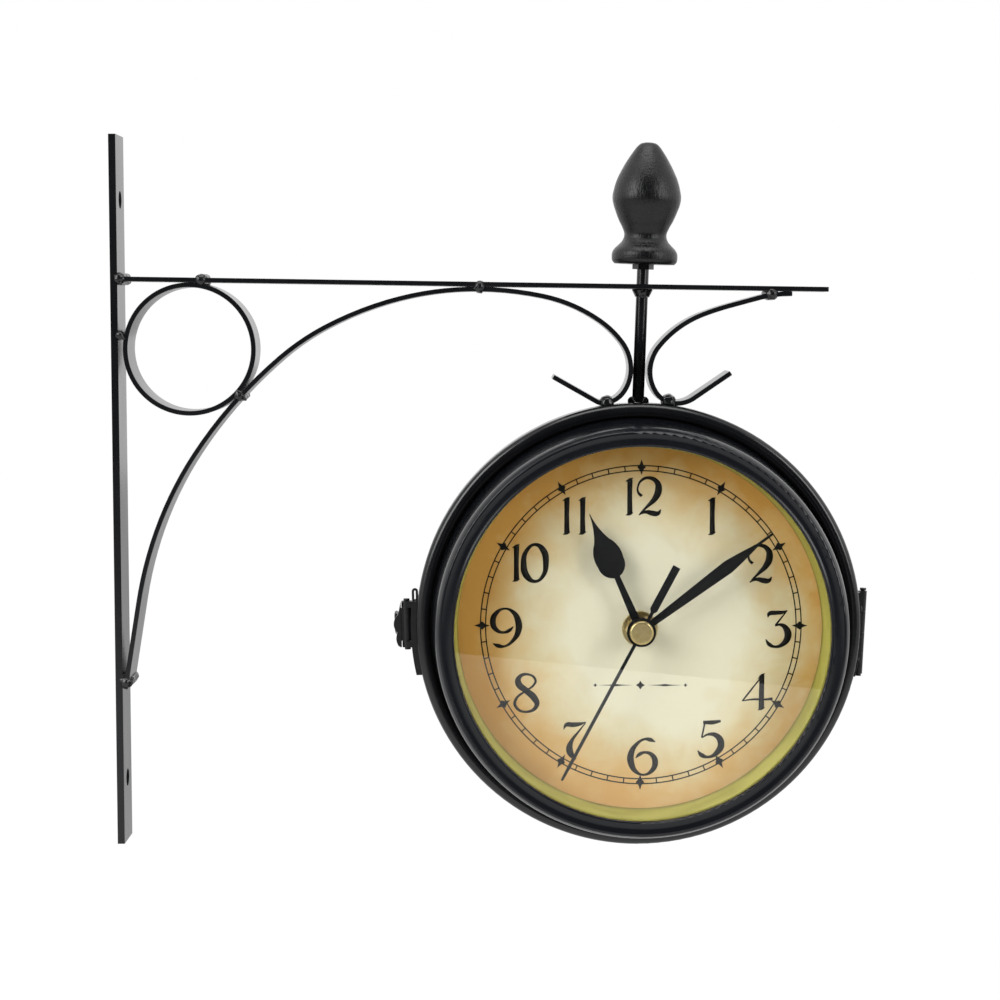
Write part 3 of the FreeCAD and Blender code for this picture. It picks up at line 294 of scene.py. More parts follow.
def eased(node: str, width: float, segments: int = 2) -> Piece:
    """Copy of a node with its hard edges eased, as rolled and painted metal has.

    Args:
        node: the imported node, which the copy replaces.
        width: width of the eased edge.
        segments: steps round the edge.

    Returns:
        The copy.
    """
    piece = merged_copy(node, node + "_eased")
    edit(piece)
    bpy.ops.mesh.dissolve_limited(angle_limit=math.radians(0.4))
    done()
    modify(piece, "BEVEL", width=width, segments=segments, limit_method="ANGLE",
           angle_limit=math.radians(40), use_clamp_overlap=True, harden_normals=False)
    smooth(piece)
    return modify(piece, "WEIGHTED_NORMAL", keep_sharp=True)


def finish_piece(piece: Piece, body: str, slot: str,
                 replaced: tuple[str, ...] = ()) -> Piece:
    """Say what a new piece rides on, which slot it is of and what it replaces.

    Args:
        piece: the new piece.
        body: the body that carries it.
        slot: the record's material slot.
        replaced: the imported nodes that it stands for.

    Returns:
        The same piece.
    """
    piece.data.materials.clear()
    piece.data.materials.append(SLOTS[slot])
    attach(piece, body)
    if replaced:
        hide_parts(*replaced)
    LOG.info("%s on %s, %d faces", piece.name, body, len(piece.data.polygons))
    return piece


# ---------------- node graphs
class Graph:
    """Node tree of one material, with short calls for what the finishes use."""

    def __init__(self, name: str) -> None:
        """Start a material.

        Args:
            name: name of the material.
        """
        self.material = bpy.data.materials.new(name)
        self.material.use_nodes = True
        self.tree = self.material.node_tree
        self.shader = self.tree.nodes["Principled BSDF"]
        self.output = self.tree.nodes["Material Output"]
        self.place = self.node("ShaderNodeTexCoord").outputs["Object"]

    def node(self, kind: str, **values: object) -> bpy.types.Node:
        """Add a node and set its properties."""
        node = self.tree.nodes.new(kind)
        for key, value in values.items():
            setattr(node, key, value)
        return node

    def filled(self, kind: str, **sockets: object) -> bpy.types.Node:
        """Add a node and set or link its inputs, by name with _ for a space."""
        node = self.node(kind)
        for key, value in sockets.items():
            self.put(node.inputs[key.replace("_", " ")], value)
        return node

    def put(self, socket: Socket, value: object) -> None:
        """Link a socket, or set it where the value is plain."""
        if isinstance(value, bpy.types.NodeSocket):
            self.tree.links.new(value, socket)
        elif isinstance(value, tuple) and len(value) == 3 and socket.type == "RGBA":
            socket.default_value = (*value, 1.0)
        else:
            socket.default_value = value

    def set(self, **values: object) -> None:
        """Set or link the shader's sockets, by name with _ for a space."""
        for key, value in values.items():
            self.put(self.shader.inputs[key.replace("_", " ")], value)

    def mapped(self, centre: Point = (0, 0, 0), turn: Point = (0, 0, 0),
               scale: Point = (1, 1, 1)) -> Socket:
        """Object coordinates about a centre.

        Args:
            centre: the place that becomes the pattern's origin.
            turn: turn of the pattern, in degrees.
            scale: stretch along each axis.

        Returns:
            The coordinates.
        """
        shift = self.node("ShaderNodeVectorMath", operation="SUBTRACT")
        self.put(shift.inputs[0], self.place)
        shift.inputs[1].default_value = centre
        turned = tuple(math.radians(angle) for angle in turn)
        return self.filled("ShaderNodeMapping", Vector=shift.outputs[0], Rotation=turned,
                           Scale=scale).outputs["Vector"]

    def noise(self, vector: Socket, scale: float, detail: float = 3.0, rough: float = 0.5,
              distortion: float = 0.0) -> Socket:
        """Noise between 0 and 1.

        Args:
            vector: the coordinates.
            scale: features to the metre.
            detail: number of finer layers.
            rough: strength of the finer layers.
            distortion: how far the pattern is pulled about.

        Returns:
            The noise.
        """
        return self.filled("ShaderNodeTexNoise", Vector=vector, Scale=scale, Detail=detail,
                           Roughness=rough, Distortion=distortion).outputs["Fac"]

    def maths(self, operation: str, first: object, second: object = 0.0) -> Socket:
        """One step of arithmetic."""
        node = self.node("ShaderNodeMath", operation=operation)
        self.put(node.inputs[0], first)
        self.put(node.inputs[1], second)
        return node.outputs[0]

    def span(self, value: Socket, low: float, high: float, to_low: float = 0.0,
             to_high: float = 1.0) -> Socket:
        """Carry a value from one range to another.

        Args:
            value: the value.
            low: start of its range.
            high: end of its range.
            to_low: what the start becomes.
            to_high: what the end becomes.

        Returns:
            The new value, held within the new range.
        """
        node = self.filled("ShaderNodeMapRange", Value=value, From_Min=low, From_Max=high,
                           To_Min=to_low, To_Max=to_high)
        node.clamp = True
        return node.outputs["Result"]

    def blend(self, factor: object, first: object, second: object) -> Socket:
        """Mix two colours.

        Args:
            factor: share of the second.
            first: colour or socket.
            second: colour or socket.

        Returns:
            The mixed colour.
        """
        node = self.node("ShaderNodeMix", data_type="RGBA", blend_type="MIX")
        self.put(node.inputs[0], factor)
        self.put(node.inputs[6], first)
        self.put(node.inputs[7], second)
        return node.outputs[2]

    def ramp(self, value: Socket, stops: tuple[tuple[float, Colour], ...]) -> Socket:
        """Colour along a value.

        Args:
            value: where to read the ramp.
            stops: place and colour of each stop.

        Returns:
            The colour.
        """
        node = self.node("ShaderNodeValToRGB")
        self.put(node.inputs["Fac"], value)
        band = node.color_ramp.elements
        while len(band) < len(stops):
            band.new(0.5)
        for element, (place, colour) in zip(band, stops):
            element.position = place
            element.color = (*colour, 1.0)
        return node.outputs["Color"]

    def polar(self, vector: Socket) -> tuple[Socket, Socket]:
        """Distance from the Y axis, and angle round it.

        Args:
            vector: coordinates about the axis.

        Returns:
            The distance in metres and the angle in radians.
        """
        split = self.node("ShaderNodeSeparateXYZ")
        self.put(split.inputs[0], vector)
        x, z = split.outputs["X"], split.outputs["Z"]
        square = self.maths("ADD", self.maths("MULTIPLY", x, x), self.maths("MULTIPLY", z, z))
        return self.maths("SQRT", square), self.maths("ARCTAN2", z, x)

    def bump(self, height: Socket, depth: float, under: Socket | None = None) -> Socket:
        """Normal raised by a height.

        Args:
            height: the height, 0 to 1.
            depth: what a height of 1 is, in metres.
            under: a normal to build on.

        Returns:
            The normal.
        """
        node = self.filled("ShaderNodeBump", Distance=depth, Height=height)
        if under is not None:
            self.put(node.inputs["Normal"], under)
        return node.outputs["Normal"]


# ---------------- finishes
@dataclass(frozen=True)
class Paint:
    """Black paint on metal: fine peel, slow lumps, dust and rubbed spots."""

    name: str
    colour: Colour = swatch(17, 18, 20)
    dusty: Colour = swatch(28, 29, 32)
    rubbed: Colour = swatch(66, 67, 68)
    rough: tuple[float, float] = (0.22, 0.36)
    peel: float = 900.0
    peel_depth: float = 0.016 * MM
    lumps: float = 130.0
    lump_depth: float = 0.10 * MM
    rub: float = 0.10
    gloss: float = 0.5

    def dress(self) -> Material:
        """Make the material."""
        graph = Graph(self.name)
        peel = graph.noise(graph.place, self.peel, 2.0)
        lumps = graph.noise(graph.place, self.lumps, 4.0, 0.55)
        smears = graph.noise(graph.mapped(scale=(1, 1, 0.35)), 55.0, 6.0, 0.6, 0.4)
        chips = graph.noise(graph.place, 420.0, 5.0, 0.7)
        worn = graph.maths("MULTIPLY", graph.span(chips, 0.60, 0.72), self.rub)
        tone = graph.span(smears, 0.3, 0.7, 0.0, 0.35)
        base = graph.blend(tone, self.colour, self.dusty)
        graph.set(Base_Color=graph.blend(worn, base, self.rubbed),
                  Roughness=graph.span(smears, 0.3, 0.7, *self.rough),
                  Normal=graph.bump(peel, self.peel_depth, graph.bump(lumps, self.lump_depth)),
                  Specular_IOR_Level=self.gloss)
        return graph.material


@dataclass(frozen=True)
class PaintedWood:
    """Black painted wood, turned: open grain up the piece and lathe lines round it."""

    name: str
    centre: Point
    colour: Colour = swatch(12, 13, 15)
    bare: Colour = swatch(36, 34, 33)

    def dress(self) -> Material:
        """Make the material."""
        graph = Graph(self.name)
        about = graph.mapped(self.centre)
        pores = graph.noise(graph.mapped(self.centre, scale=(1, 1, 0.16)), 1500.0, 3.0, 0.6)
        lathe = graph.noise(graph.mapped(self.centre, scale=(0.05, 0.05, 1)), 1700.0, 3.0, 0.6)
        blotch = graph.noise(about, 140.0, 5.0, 0.6)
        thin = graph.maths("MULTIPLY", graph.span(pores, 0.62, 0.74), 0.35)
        grain = graph.maths("ADD", graph.span(pores, 0.40, 0.62),
                            graph.span(lathe, 0.3, 0.7, 0, 0.5))
        graph.set(Base_Color=graph.blend(thin, self.colour, self.bare),
                  Roughness=graph.span(blotch, 0.3, 0.7, 0.24, 0.36), Specular_IOR_Level=0.38,
                  Normal=graph.bump(grain, 0.045 * MM, graph.bump(blotch, 0.10 * MM)))
        return graph.material


@dataclass(frozen=True)
class Moulded:
    """Moulded plastic: fine matt texture with faint flow marks."""

    name: str
    colour: Colour
    shade: Colour
    rough: float = 0.5
    depth: float = 0.02 * MM

    def dress(self) -> Material:
        """Make the material."""
        graph = Graph(self.name)
        grain = graph.noise(graph.place, 2600.0, 2.0)
        flow = graph.noise(graph.mapped(scale=(1, 2, 1)), 40.0, 4.0, 0.5, 0.6)
        tone = graph.blend(graph.span(flow, 0.35, 0.7), self.colour, self.shade)
        graph.set(Base_Color=self.with_painted_shade(graph, tone),
                  Roughness=graph.span(flow, 0.3, 0.7, self.rough - 0.07, self.rough + 0.07),
                  Normal=graph.bump(grain, self.depth))
        return graph.material

    def with_painted_shade(self, graph: "Graph", tone: Socket) -> Socket:
        """The plastic's colour with any painted shade on it, which here is none."""
        return tone


@dataclass(frozen=True)
class DialWall(Moulded):
    """Plastic wall round a dial, with painted shade where it meets the dial's face."""

    dial_face: float = 18.2 * MM
    reach: float = 4.5 * MM
    # colour of the painted shade in the corner by the dial's face
    corner: Colour = swatch(104, 98, 34)

    def with_painted_shade(self, graph: "Graph", tone: Socket) -> Socket:
        """Paint shade on the colour towards the dial, unevenly."""
        across = graph.node("ShaderNodeSeparateXYZ")
        graph.put(across.inputs[0], graph.place)
        patches = graph.noise(graph.place, 60.0, 4.0, 0.6, 0.5)
        depth = graph.maths("ADD", graph.maths("ABSOLUTE", across.outputs["Y"]),
                            graph.span(patches, 0.3, 0.7, -0.8 * MM, 0.8 * MM))
        # painted shade: strongest at the dial's face, gone a few millimetres towards the glass
        near = graph.span(depth, self.dial_face, self.dial_face + self.reach, 0.85, 0.0)
        return graph.blend(near, tone, self.corner)


@dataclass(frozen=True)
class Brushed:
    """Bare metal with turning or brush marks."""

    name: str
    colour: Colour
    dull: Colour
    lines: Across
    centre: Point = (0.0, 0.0, 0.0)
    rough: float = 0.28

    def dress(self) -> Material:
        """Make the material."""
        graph = Graph(self.name)
        about = graph.mapped(self.centre)
        distance, angle = graph.polar(about)
        marks = graph.node("ShaderNodeCombineXYZ")
        fine, slow = (2400.0, 0.6) if self.lines is Across.ROUND else (48.0, 28.0)
        graph.put(marks.inputs["X"], graph.maths("MULTIPLY", distance, fine))
        graph.put(marks.inputs["Y"], graph.maths("MULTIPLY", angle, slow))
        scratches = graph.noise(marks.outputs[0], 1.0, 3.0, 0.6)
        tarnish = graph.noise(about, 260.0, 5.0, 0.6)
        graph.set(Base_Color=graph.blend(graph.span(tarnish, 0.4, 0.75), self.colour, self.dull),
                  Metallic=1.0,
                  Roughness=graph.span(tarnish, 0.3, 0.7, self.rough - 0.06, self.rough + 0.12),
                  Normal=graph.bump(scratches, 0.012 * MM))
        return graph.material


@dataclass(frozen=True)
class AgedPaper:
    """Printed paper, cream in the middle and browned in clouds towards its edge."""

    name: str
    centre: Point
    radius: float = 73.4 * MM
    back_depth: float = 17.9 * MM
    bare_back: Colour = swatch(176, 172, 160)
    left_lean: float = 2.1
    top_lean: float = 0.8
    cream: Colour = swatch(238, 232, 206)
    straw: Colour = swatch(228, 212, 170)
    tan: Colour = swatch(222, 184, 120)
    rust: Colour = swatch(212, 156, 72)
    blush: Colour = swatch(230, 190, 138)

    def dress(self) -> Material:
        """Make the material."""
        graph = Graph(self.name)
        about = graph.mapped(self.centre)
        distance, _ = graph.polar(about)
        clouds = graph.noise(about, 17.0, 5.0, 0.55, 0.5)
        mottle = graph.noise(graph.mapped(self.centre, (0, 60, 0)), 62.0, 6.0, 0.62, 0.6)
        stains = graph.noise(graph.mapped(self.centre, (0, 20, 0), (1, 1, 1.5)), 34.0, 6.0, 0.62,
                             0.9)
        fibres = graph.noise(graph.mapped(self.centre, (0, 35, 0), (1, 1, 0.2)), 1500.0, 3.0)
        low = graph.node("ShaderNodeSeparateXYZ")
        graph.put(low.inputs[0], about)
        share = graph.maths("DIVIDE", distance, self.radius)
        lean = graph.maths("ADD", graph.maths("MULTIPLY", low.outputs["X"], -self.left_lean),
                           graph.maths("MULTIPLY", low.outputs["Z"], self.top_lean))
        wander = graph.maths("ADD", graph.maths("ADD", share, lean),
                             graph.maths("ADD", graph.span(clouds, 0.25, 0.75, -0.17, 0.17),
                                         graph.span(mottle, 0.3, 0.7, -0.08, 0.08)))
        ground = graph.ramp(wander, ((0.0, self.cream), (0.42, self.cream), (0.62, self.straw),
                                     (0.80, self.tan), (0.93, self.rust), (1.0, self.rust)))
        near_edge = graph.span(share, 0.55, 0.95)
        spots = graph.maths("MULTIPLY", graph.span(stains, 0.47, 0.68), near_edge)
        stained = graph.blend(graph.maths("MULTIPLY", spots, 0.75), ground, self.rust)
        bottom = graph.maths("MULTIPLY", graph.span(low.outputs["Z"], -0.025, -0.06), near_edge)
        warm = graph.blend(graph.maths("MULTIPLY", bottom, 0.45), stained, self.blush)
        speck = graph.maths("MULTIPLY", graph.span(fibres, 0.6, 0.8), 0.06)
        behind = graph.span(graph.maths("ABSOLUTE", low.outputs["Y"]),
                            self.back_depth, self.back_depth + 0.1 * MM, 1.0, 0.0)
        printed = graph.blend(speck, warm, self.tan)
        graph.set(Base_Color=graph.blend(behind, printed, self.bare_back), Roughness=0.62,
                  Normal=graph.bump(fibres, 0.006 * MM))
        return graph.material


@dataclass(frozen=True)
class Ink:
    """Printed ink, a little uneven over the paper."""

    name: str
    colour: Colour = swatch(15, 14, 12)
    thin: Colour = swatch(34, 31, 26)

    def dress(self) -> Material:
        """Make the material."""
        graph = Graph(self.name)
        cover = graph.noise(graph.place, 700.0, 5.0, 0.65)
        graph.set(Base_Color=graph.blend(graph.span(cover, 0.45, 0.75), self.colour, self.thin),
                  Roughness=graph.span(cover, 0.3, 0.7, 0.5, 0.65), Specular_IOR_Level=0.2,
                  Normal=graph.bump(cover, 0.004 * MM))
        return graph.material


@dataclass(frozen=True)
class ClearGlass:
    """Clear flat glass that lets shadow rays through."""

    name: str

    def dress(self) -> Material:
        """Make the material."""
        graph = Graph(self.name)
        dust = graph.noise(graph.place, 60.0, 6.0, 0.7)
        graph.set(Base_Color=(0.97, 0.985, 0.975), Transmission_Weight=1.0, IOR=1.45,
                  Roughness=graph.span(dust, 0.45, 0.8, 0.0, 0.03))
        through = graph.node("ShaderNodeBsdfTransparent")
        path = graph.node("ShaderNodeLightPath")
        mix = graph.node("ShaderNodeMixShader")
        graph.put(mix.inputs[0], path.outputs["Is Shadow Ray"])
        graph.put(mix.inputs[1], graph.shader.outputs[0])
        graph.put(mix.inputs[2], through.outputs[0])
        graph.put(graph.output.inputs["Surface"], mix.outputs[0])
        return graph.material


CLOCK = (0.1979, 0.0, -0.0500)
FINIAL = (0.1998, 0.0, 0.1090)

SLOTS: dict[str, Material] = {
    finish.name: finish.dress() for finish in (
        Paint("bracket_paint", rough=(0.15, 0.23), peel_depth=0.008 * MM, lump_depth=0.03 * MM,
              rub=0.03),
        Paint("weld_paint", rough=(0.12, 0.24), lumps=420.0, lump_depth=0.16 * MM, rub=0.03),
        PaintedWood("finial_wood", FINIAL),
        Paint("drum_enamel", rough=(0.14, 0.24), peel=700.0, peel_depth=0.008 * MM,
              lump_depth=0.05 * MM, rub=0.04),
        Paint("bezel_gloss", colour=swatch(19, 21, 25), rough=(0.16, 0.24), gloss=0.33,
              peel=1500.0, peel_depth=0.004 * MM, lump_depth=0.02 * MM, rub=0.02),
        ClearGlass("glass"),
        # the spacer wall carries painted shade next to the dial's face
        DialWall("spacer", swatch(176, 174, 84), swatch(154, 150, 62), 0.50),
        AgedPaper("dial", CLOCK),
        Brushed("screw_steel", swatch(190, 190, 188), swatch(150, 148, 142),
                Across.ALONG),
        Moulded("movement_plastic", swatch(34, 34, 36), swatch(46, 46, 48), 0.45),
        Moulded("battery_sleeve", swatch(92, 96, 104), swatch(70, 74, 82), 0.3),
        Brushed("brass", swatch(226, 206, 152), swatch(196, 168, 112), Across.ROUND,
                CLOCK),
        Moulded("tube_plastic", swatch(222, 218, 204), swatch(206, 200, 184), 0.4),
        Moulded("knob_plastic", swatch(170, 52, 42), swatch(150, 40, 34), 0.42),
        Paint("hand_black", colour=swatch(10, 10, 11), rough=(0.5, 0.62), gloss=0.25, peel=1900.0,
              peel_depth=0.004 * MM, lump_depth=0.01 * MM, rub=0.02),
        Paint("fittings", rough=(0.2, 0.36), lumps=300.0, lump_depth=0.08 * MM, rub=0.12),
    )
}
INK = Ink("dial_ink").dress()


# ---------------- bracket
@dataclass
class Bracket:
    """Strips, post and welds."""

    edge: float = 0.28 * MM
    plate_edge: float = 0.35 * MM
    blob_spacing: float = 2.6 * MM
    widest: float = 4.4 * MM
    splats: int = 5
    stray: float = 0.65
    wall_gap: float = 0.4 * MM
    speck: int = 300
    lumpy: float = 0.7 * MM
    lump_size: float = 1.6 * MM
    voxel: float = 0.36 * MM
    strips: tuple[str, ...] = ("top_arm", "scroll_ring", "long_brace", "outer_scroll")
    post_foot: Point = (0.1979, 0.0, 0.0339)
    post_lean: float = 1.9
    bud_base: float = 52.1 * MM
    bud_shift: float = 0.0004
    bud_steps: int = 96
    bud: tuple[tuple[float, float], ...] = (
        (11.3, 0.0), (12.1, 0.9), (12.4, 2.6), (12.2, 4.2), (11.4, 5.6), (9.9, 7.1), (8.5, 8.8),
        (7.95, 10.9), (8.7, 13.3), (10.2, 16.2), (11.6, 19.6), (12.6, 22.6), (12.9, 24.9),
        (12.5, 27.6), (11.5, 31.2), (9.8, 35.0), (7.7, 38.8), (5.5, 42.2), (4.2, 43.9),
        (2.9, 45.0), (1.4, 45.4))

    def strip_pieces(self) -> None:
        """Strips with eased edges, in place of the square ones."""
        for node in self.strips:
            finish_piece(eased(node, self.edge), "root", "bracket_paint", (node,))
        finish_piece(eased("wall_plate", self.plate_edge), "root", "bracket_paint",
                     ("wall_plate",))

    def finial_piece(self) -> None:
        """Turned bud: its outline drawn as one smooth line and spun round the post."""
        data = bpy.data.curves.new("finial_line", "CURVE")
        data.dimensions = "3D"
        data.resolution_u = 5
        smooth_line(data, [(radius * MM, 0, height * MM) for radius, height in self.bud])
        meshed(drawn(data))
        piece = named("finial_turned")
        modify(piece, "SCREW", steps=self.bud_steps, render_steps=self.bud_steps,
               use_merge_vertices=True, merge_threshold=0.001 * MM)
        edit(piece)
        bpy.ops.mesh.fill_holes(sides=0)
        bpy.ops.mesh.normals_make_consistent(inside=False)
        done()
        piece.location = Vector(self.post_foot)
        piece.rotation_euler = (0, math.radians(self.post_lean), 0)
        piece.data.transform(Matrix.Translation((self.bud_shift, 0, self.bud_base)))
        settle(piece)
        finish_piece(smooth(piece, 50), "root", "finial_wood", ("finial",))

    def islands(self, piece: Piece) -> list[tuple[Vector, Vector]]:
        """Boxes of a piece's separate lumps.

        Args:
            piece: a merged piece of several lumps, which is used up.

        Returns:
            Lowest and highest corner of each lump.
        """
        boxes = []
        for lump in loose_parts(piece):
            corners = [vertex.co for vertex in lump.data.vertices]
            boxes.append((Vector(map(min, zip(*corners))), Vector(map(max, zip(*corners)))))
            bpy.data.objects.remove(lump)
        return sorted(boxes, key=lambda box: (round(box[0].x, 5), round(box[0].z, 5)))

    def without_specks(self, lumps: Piece) -> Piece:
        """Drop the specks and hollows that the melting leaves apart from the beads.

        Args:
            lumps: the melted beads.

        Returns:
            The beads alone.
        """
        kept = []
        for part in loose_parts(lumps):
            if len(part.data.vertices) > self.speck:
                kept.append(part)
            else:
                bpy.data.objects.remove(part)
        return join("weld_lumps", kept)

    def weld_pieces(self) -> None:
        """Weld beads as rows of overlapping puddles, melted into one skin."""
        chance = random.Random(7)
        boxes = self.islands(merged_copy("weld_beads", "weld_boxes"))
        blobs = [merged_copy("weld_beads", "weld_lumps")]
        for low, high in boxes:
            middle, size = (low + high) / 2, high - low
            radius = min(size.x, size.z, self.widest) / 2
            count = max(2, round(size.y / self.blob_spacing))
            for number in range(count):
                reach = max(size.y / 2 - radius, 0)
                along = -reach + 2 * reach * number / (count - 1)
                wide = radius * chance.uniform(0.72, 0.98)
                slack = radius - wide
                bpy.ops.mesh.primitive_ico_sphere_add(
                    subdivisions=3, radius=wide,
                    location=(middle.x + chance.uniform(-slack, slack),
                              middle.y + along,
                              middle.z + chance.uniform(-slack, slack)))
                blobs.append(settle(named("puddle")))
            for _ in range(self.splats):
                bpy.ops.mesh.primitive_ico_sphere_add(
                    subdivisions=3, radius=radius * chance.uniform(0.35, 0.6),
                    location=(middle.x + radius * chance.uniform(-self.stray, self.stray),
                              low.y + radius * chance.uniform(0.5, 1.1),
                              middle.z + radius * chance.uniform(-self.stray, self.stray)),
                    rotation=(0, chance.uniform(0, math.pi), 0))
                splat = named("splat")
                splat.scale = (chance.uniform(1.2, 1.9), 1.0, chance.uniform(0.6, 0.9))
                blobs.append(settle(splat))
        lumps = join("weld_lumps", blobs)
        modify(lumps, "REMESH", mode="VOXEL", voxel_size=self.voxel)
        lumps = self.without_specks(lumps)
        clouds = bpy.data.textures.new("weld_clouds", "CLOUDS")
        clouds.noise_scale = self.lump_size
        modify(lumps, "DISPLACE", texture=clouds, strength=self.lumpy, mid_level=0.55,
               texture_coords="LOCAL")
        modify(lumps, "SMOOTH", factor=0.5, iterations=2)
        for vertex in lumps.data.vertices:
            vertex.co.x = max(vertex.co.x, self.wall_gap)
        smooth(lumps, 80)
        finish_piece(lumps, "root", "weld_paint", ("weld_beads",))


# ---------------- dial print
@dataclass(frozen=True)
class Glyph:
    """A numeral drawn by a broad pen: strokes of x, z and half width, in millimetres."""

    strokes: tuple[Stroke, ...]
    closed: bool = False


ONE = Glyph((((0.1, 6.4, 1.0), (0.05, 0.0, 0.9), (0.1, -6.3, 1.0)),
             ((-1.5, 5.7, 0.15), (0.1, 6.4, 0.55), (1.25, 7.0, 0.15)),
             ((-1.4, -6.9, 0.15), (0.1, -6.4, 0.55), (1.35, -5.9, 0.15))))
TWO = Glyph((((-2.7, 0.2, 0.55), (-4.0, 1.5, 0.45), (-4.2, 3.6, 0.35), (-2.6, 6.3, 0.5),
              (0.2, 7.0, 0.65), (2.9, 5.4, 1.0), (3.5, 2.6, 1.3), (2.3, -0.5, 1.1),
              (-0.4, -3.4, 0.6), (-2.6, -5.6, 0.35), (-3.7, -6.9, 0.25)),
             ((-3.7, -6.7, 0.2), (-1.2, -5.7, 0.65), (1.4, -6.2, 1.0), (3.3, -6.2, 0.8),
              (4.4, -4.8, 0.2))))
THREE = Glyph((((-3.6, 4.2, 0.15), (-3.1, 5.6, 0.75), (-0.6, 6.0, 0.8), (2.0, 6.2, 0.6),
                (3.7, 6.9, 0.15)),
               ((3.5, 6.7, 0.2), (1.3, 3.9, 0.3), (-0.7, 1.3, 0.35)),
               ((-0.9, 1.1, 0.25), (1.3, 1.5, 0.6), (3.5, -0.4, 1.2), (3.9, -3.1, 1.3),
                (2.2, -5.7, 0.9), (-0.6, -6.8, 0.5), (-3.1, -5.8, 0.7), (-4.3, -4.0, 0.2))))
FOUR = Glyph((((1.9, 6.2, 0.95), (1.8, 0.0, 0.95), (1.8, -6.4, 1.05)),
              ((0.4, 4.9, 0.1), (1.9, 6.2, 0.5), (3.0, 6.9, 0.15)),
              ((0.5, -6.9, 0.15), (1.8, -6.4, 0.5), (3.0, -5.9, 0.15)),
              ((1.7, 5.6, 0.2), (-1.9, 1.0, 0.3), (-5.2, -3.3, 0.3)),
              ((-5.5, -3.4, 0.2), (-1.0, -2.85, 0.35), (3.4, -2.9, 0.4), (5.9, -2.6, 0.5))))
FIVE = Glyph((((-2.7, 6.3, 0.6), (0.8, 6.3, 0.8), (3.9, 6.8, 0.45)),
              ((-2.0, 6.4, 0.35), (-2.6, 3.3, 0.3), (-3.2, 0.6, 0.3)),
              ((-3.2, 0.5, 0.25), (-0.5, 1.8, 0.5), (2.6, 1.1, 1.0), (4.1, -2.0, 1.25),
               (2.6, -5.1, 1.0), (-0.5, -6.8, 0.5), (-3.2, -6.1, 0.8), (-4.7, -4.4, 0.2))))
SIX = Glyph((((5.0, 5.6, 0.2), (3.1, 6.4, 0.75), (0.9, 6.6, 0.45), (-2.2, 4.5, 0.7),
              (-4.1, 1.0, 1.15), (-4.0, -2.6, 1.2), (-2.2, -5.7, 0.75), (0.7, -6.9, 0.4),
              (3.7, -5.4, 0.8), (5.0, -2.2, 1.1), (3.9, 0.5, 0.85), (1.3, 1.6, 0.5),
              (-1.0, 0.8, 0.65), (-2.3, -0.5, 0.2)),))
SEVEN = Glyph((((-4.1, 4.0, 0.1), (-3.2, 5.8, 0.7), (-0.6, 5.9, 0.9), (2.0, 6.2, 0.65),
                (4.3, 6.9, 0.15)),
               ((4.1, 6.6, 0.2), (1.6, 3.4, 0.35), (-1.1, -0.3, 0.7), (-1.9, -3.3, 1.25),
                (-1.1, -5.6, 1.05), (0.5, -7.2, 0.3))))
EIGHT = Glyph((((0.1, 0.8, 1.15), (3.0, -1.9, 1.25), (3.9, -4.6, 0.85), (0.1, -7.1, 0.45),
                (-4.1, -4.9, 0.55), (-3.8, -2.2, 0.5), (-0.3, 0.8, 0.35), (2.7, 3.0, 0.4),
                (3.4, 5.0, 0.45), (0.4, 7.1, 0.45), (-2.6, 6.0, 0.8), (-3.0, 3.8, 1.2)),), True)
NAUGHT = Glyph((((4.1, 0.3, 1.1), (3.1, 4.8, 1.15), (0.2, 6.9, 0.6), (-2.9, 4.9, 0.75),
                 (-4.2, -0.2, 1.1), (-3.0, -4.9, 1.2), (0.1, -6.9, 0.6), (3.0, -4.9, 0.75)),),
               True)


def half_turn(glyph: Glyph, scale: float) -> Glyph:
    """A glyph turned upside down.

    Args:
        glyph: the glyph.
        scale: how much larger the new one is.

    Returns:
        The turned glyph.
    """
    return Glyph(tuple(tuple((-x * scale, -z * scale, half) for x, z, half in stroke)
                       for stroke in glyph.strokes), glyph.closed)


NINE = half_turn(SIX, 1.05)


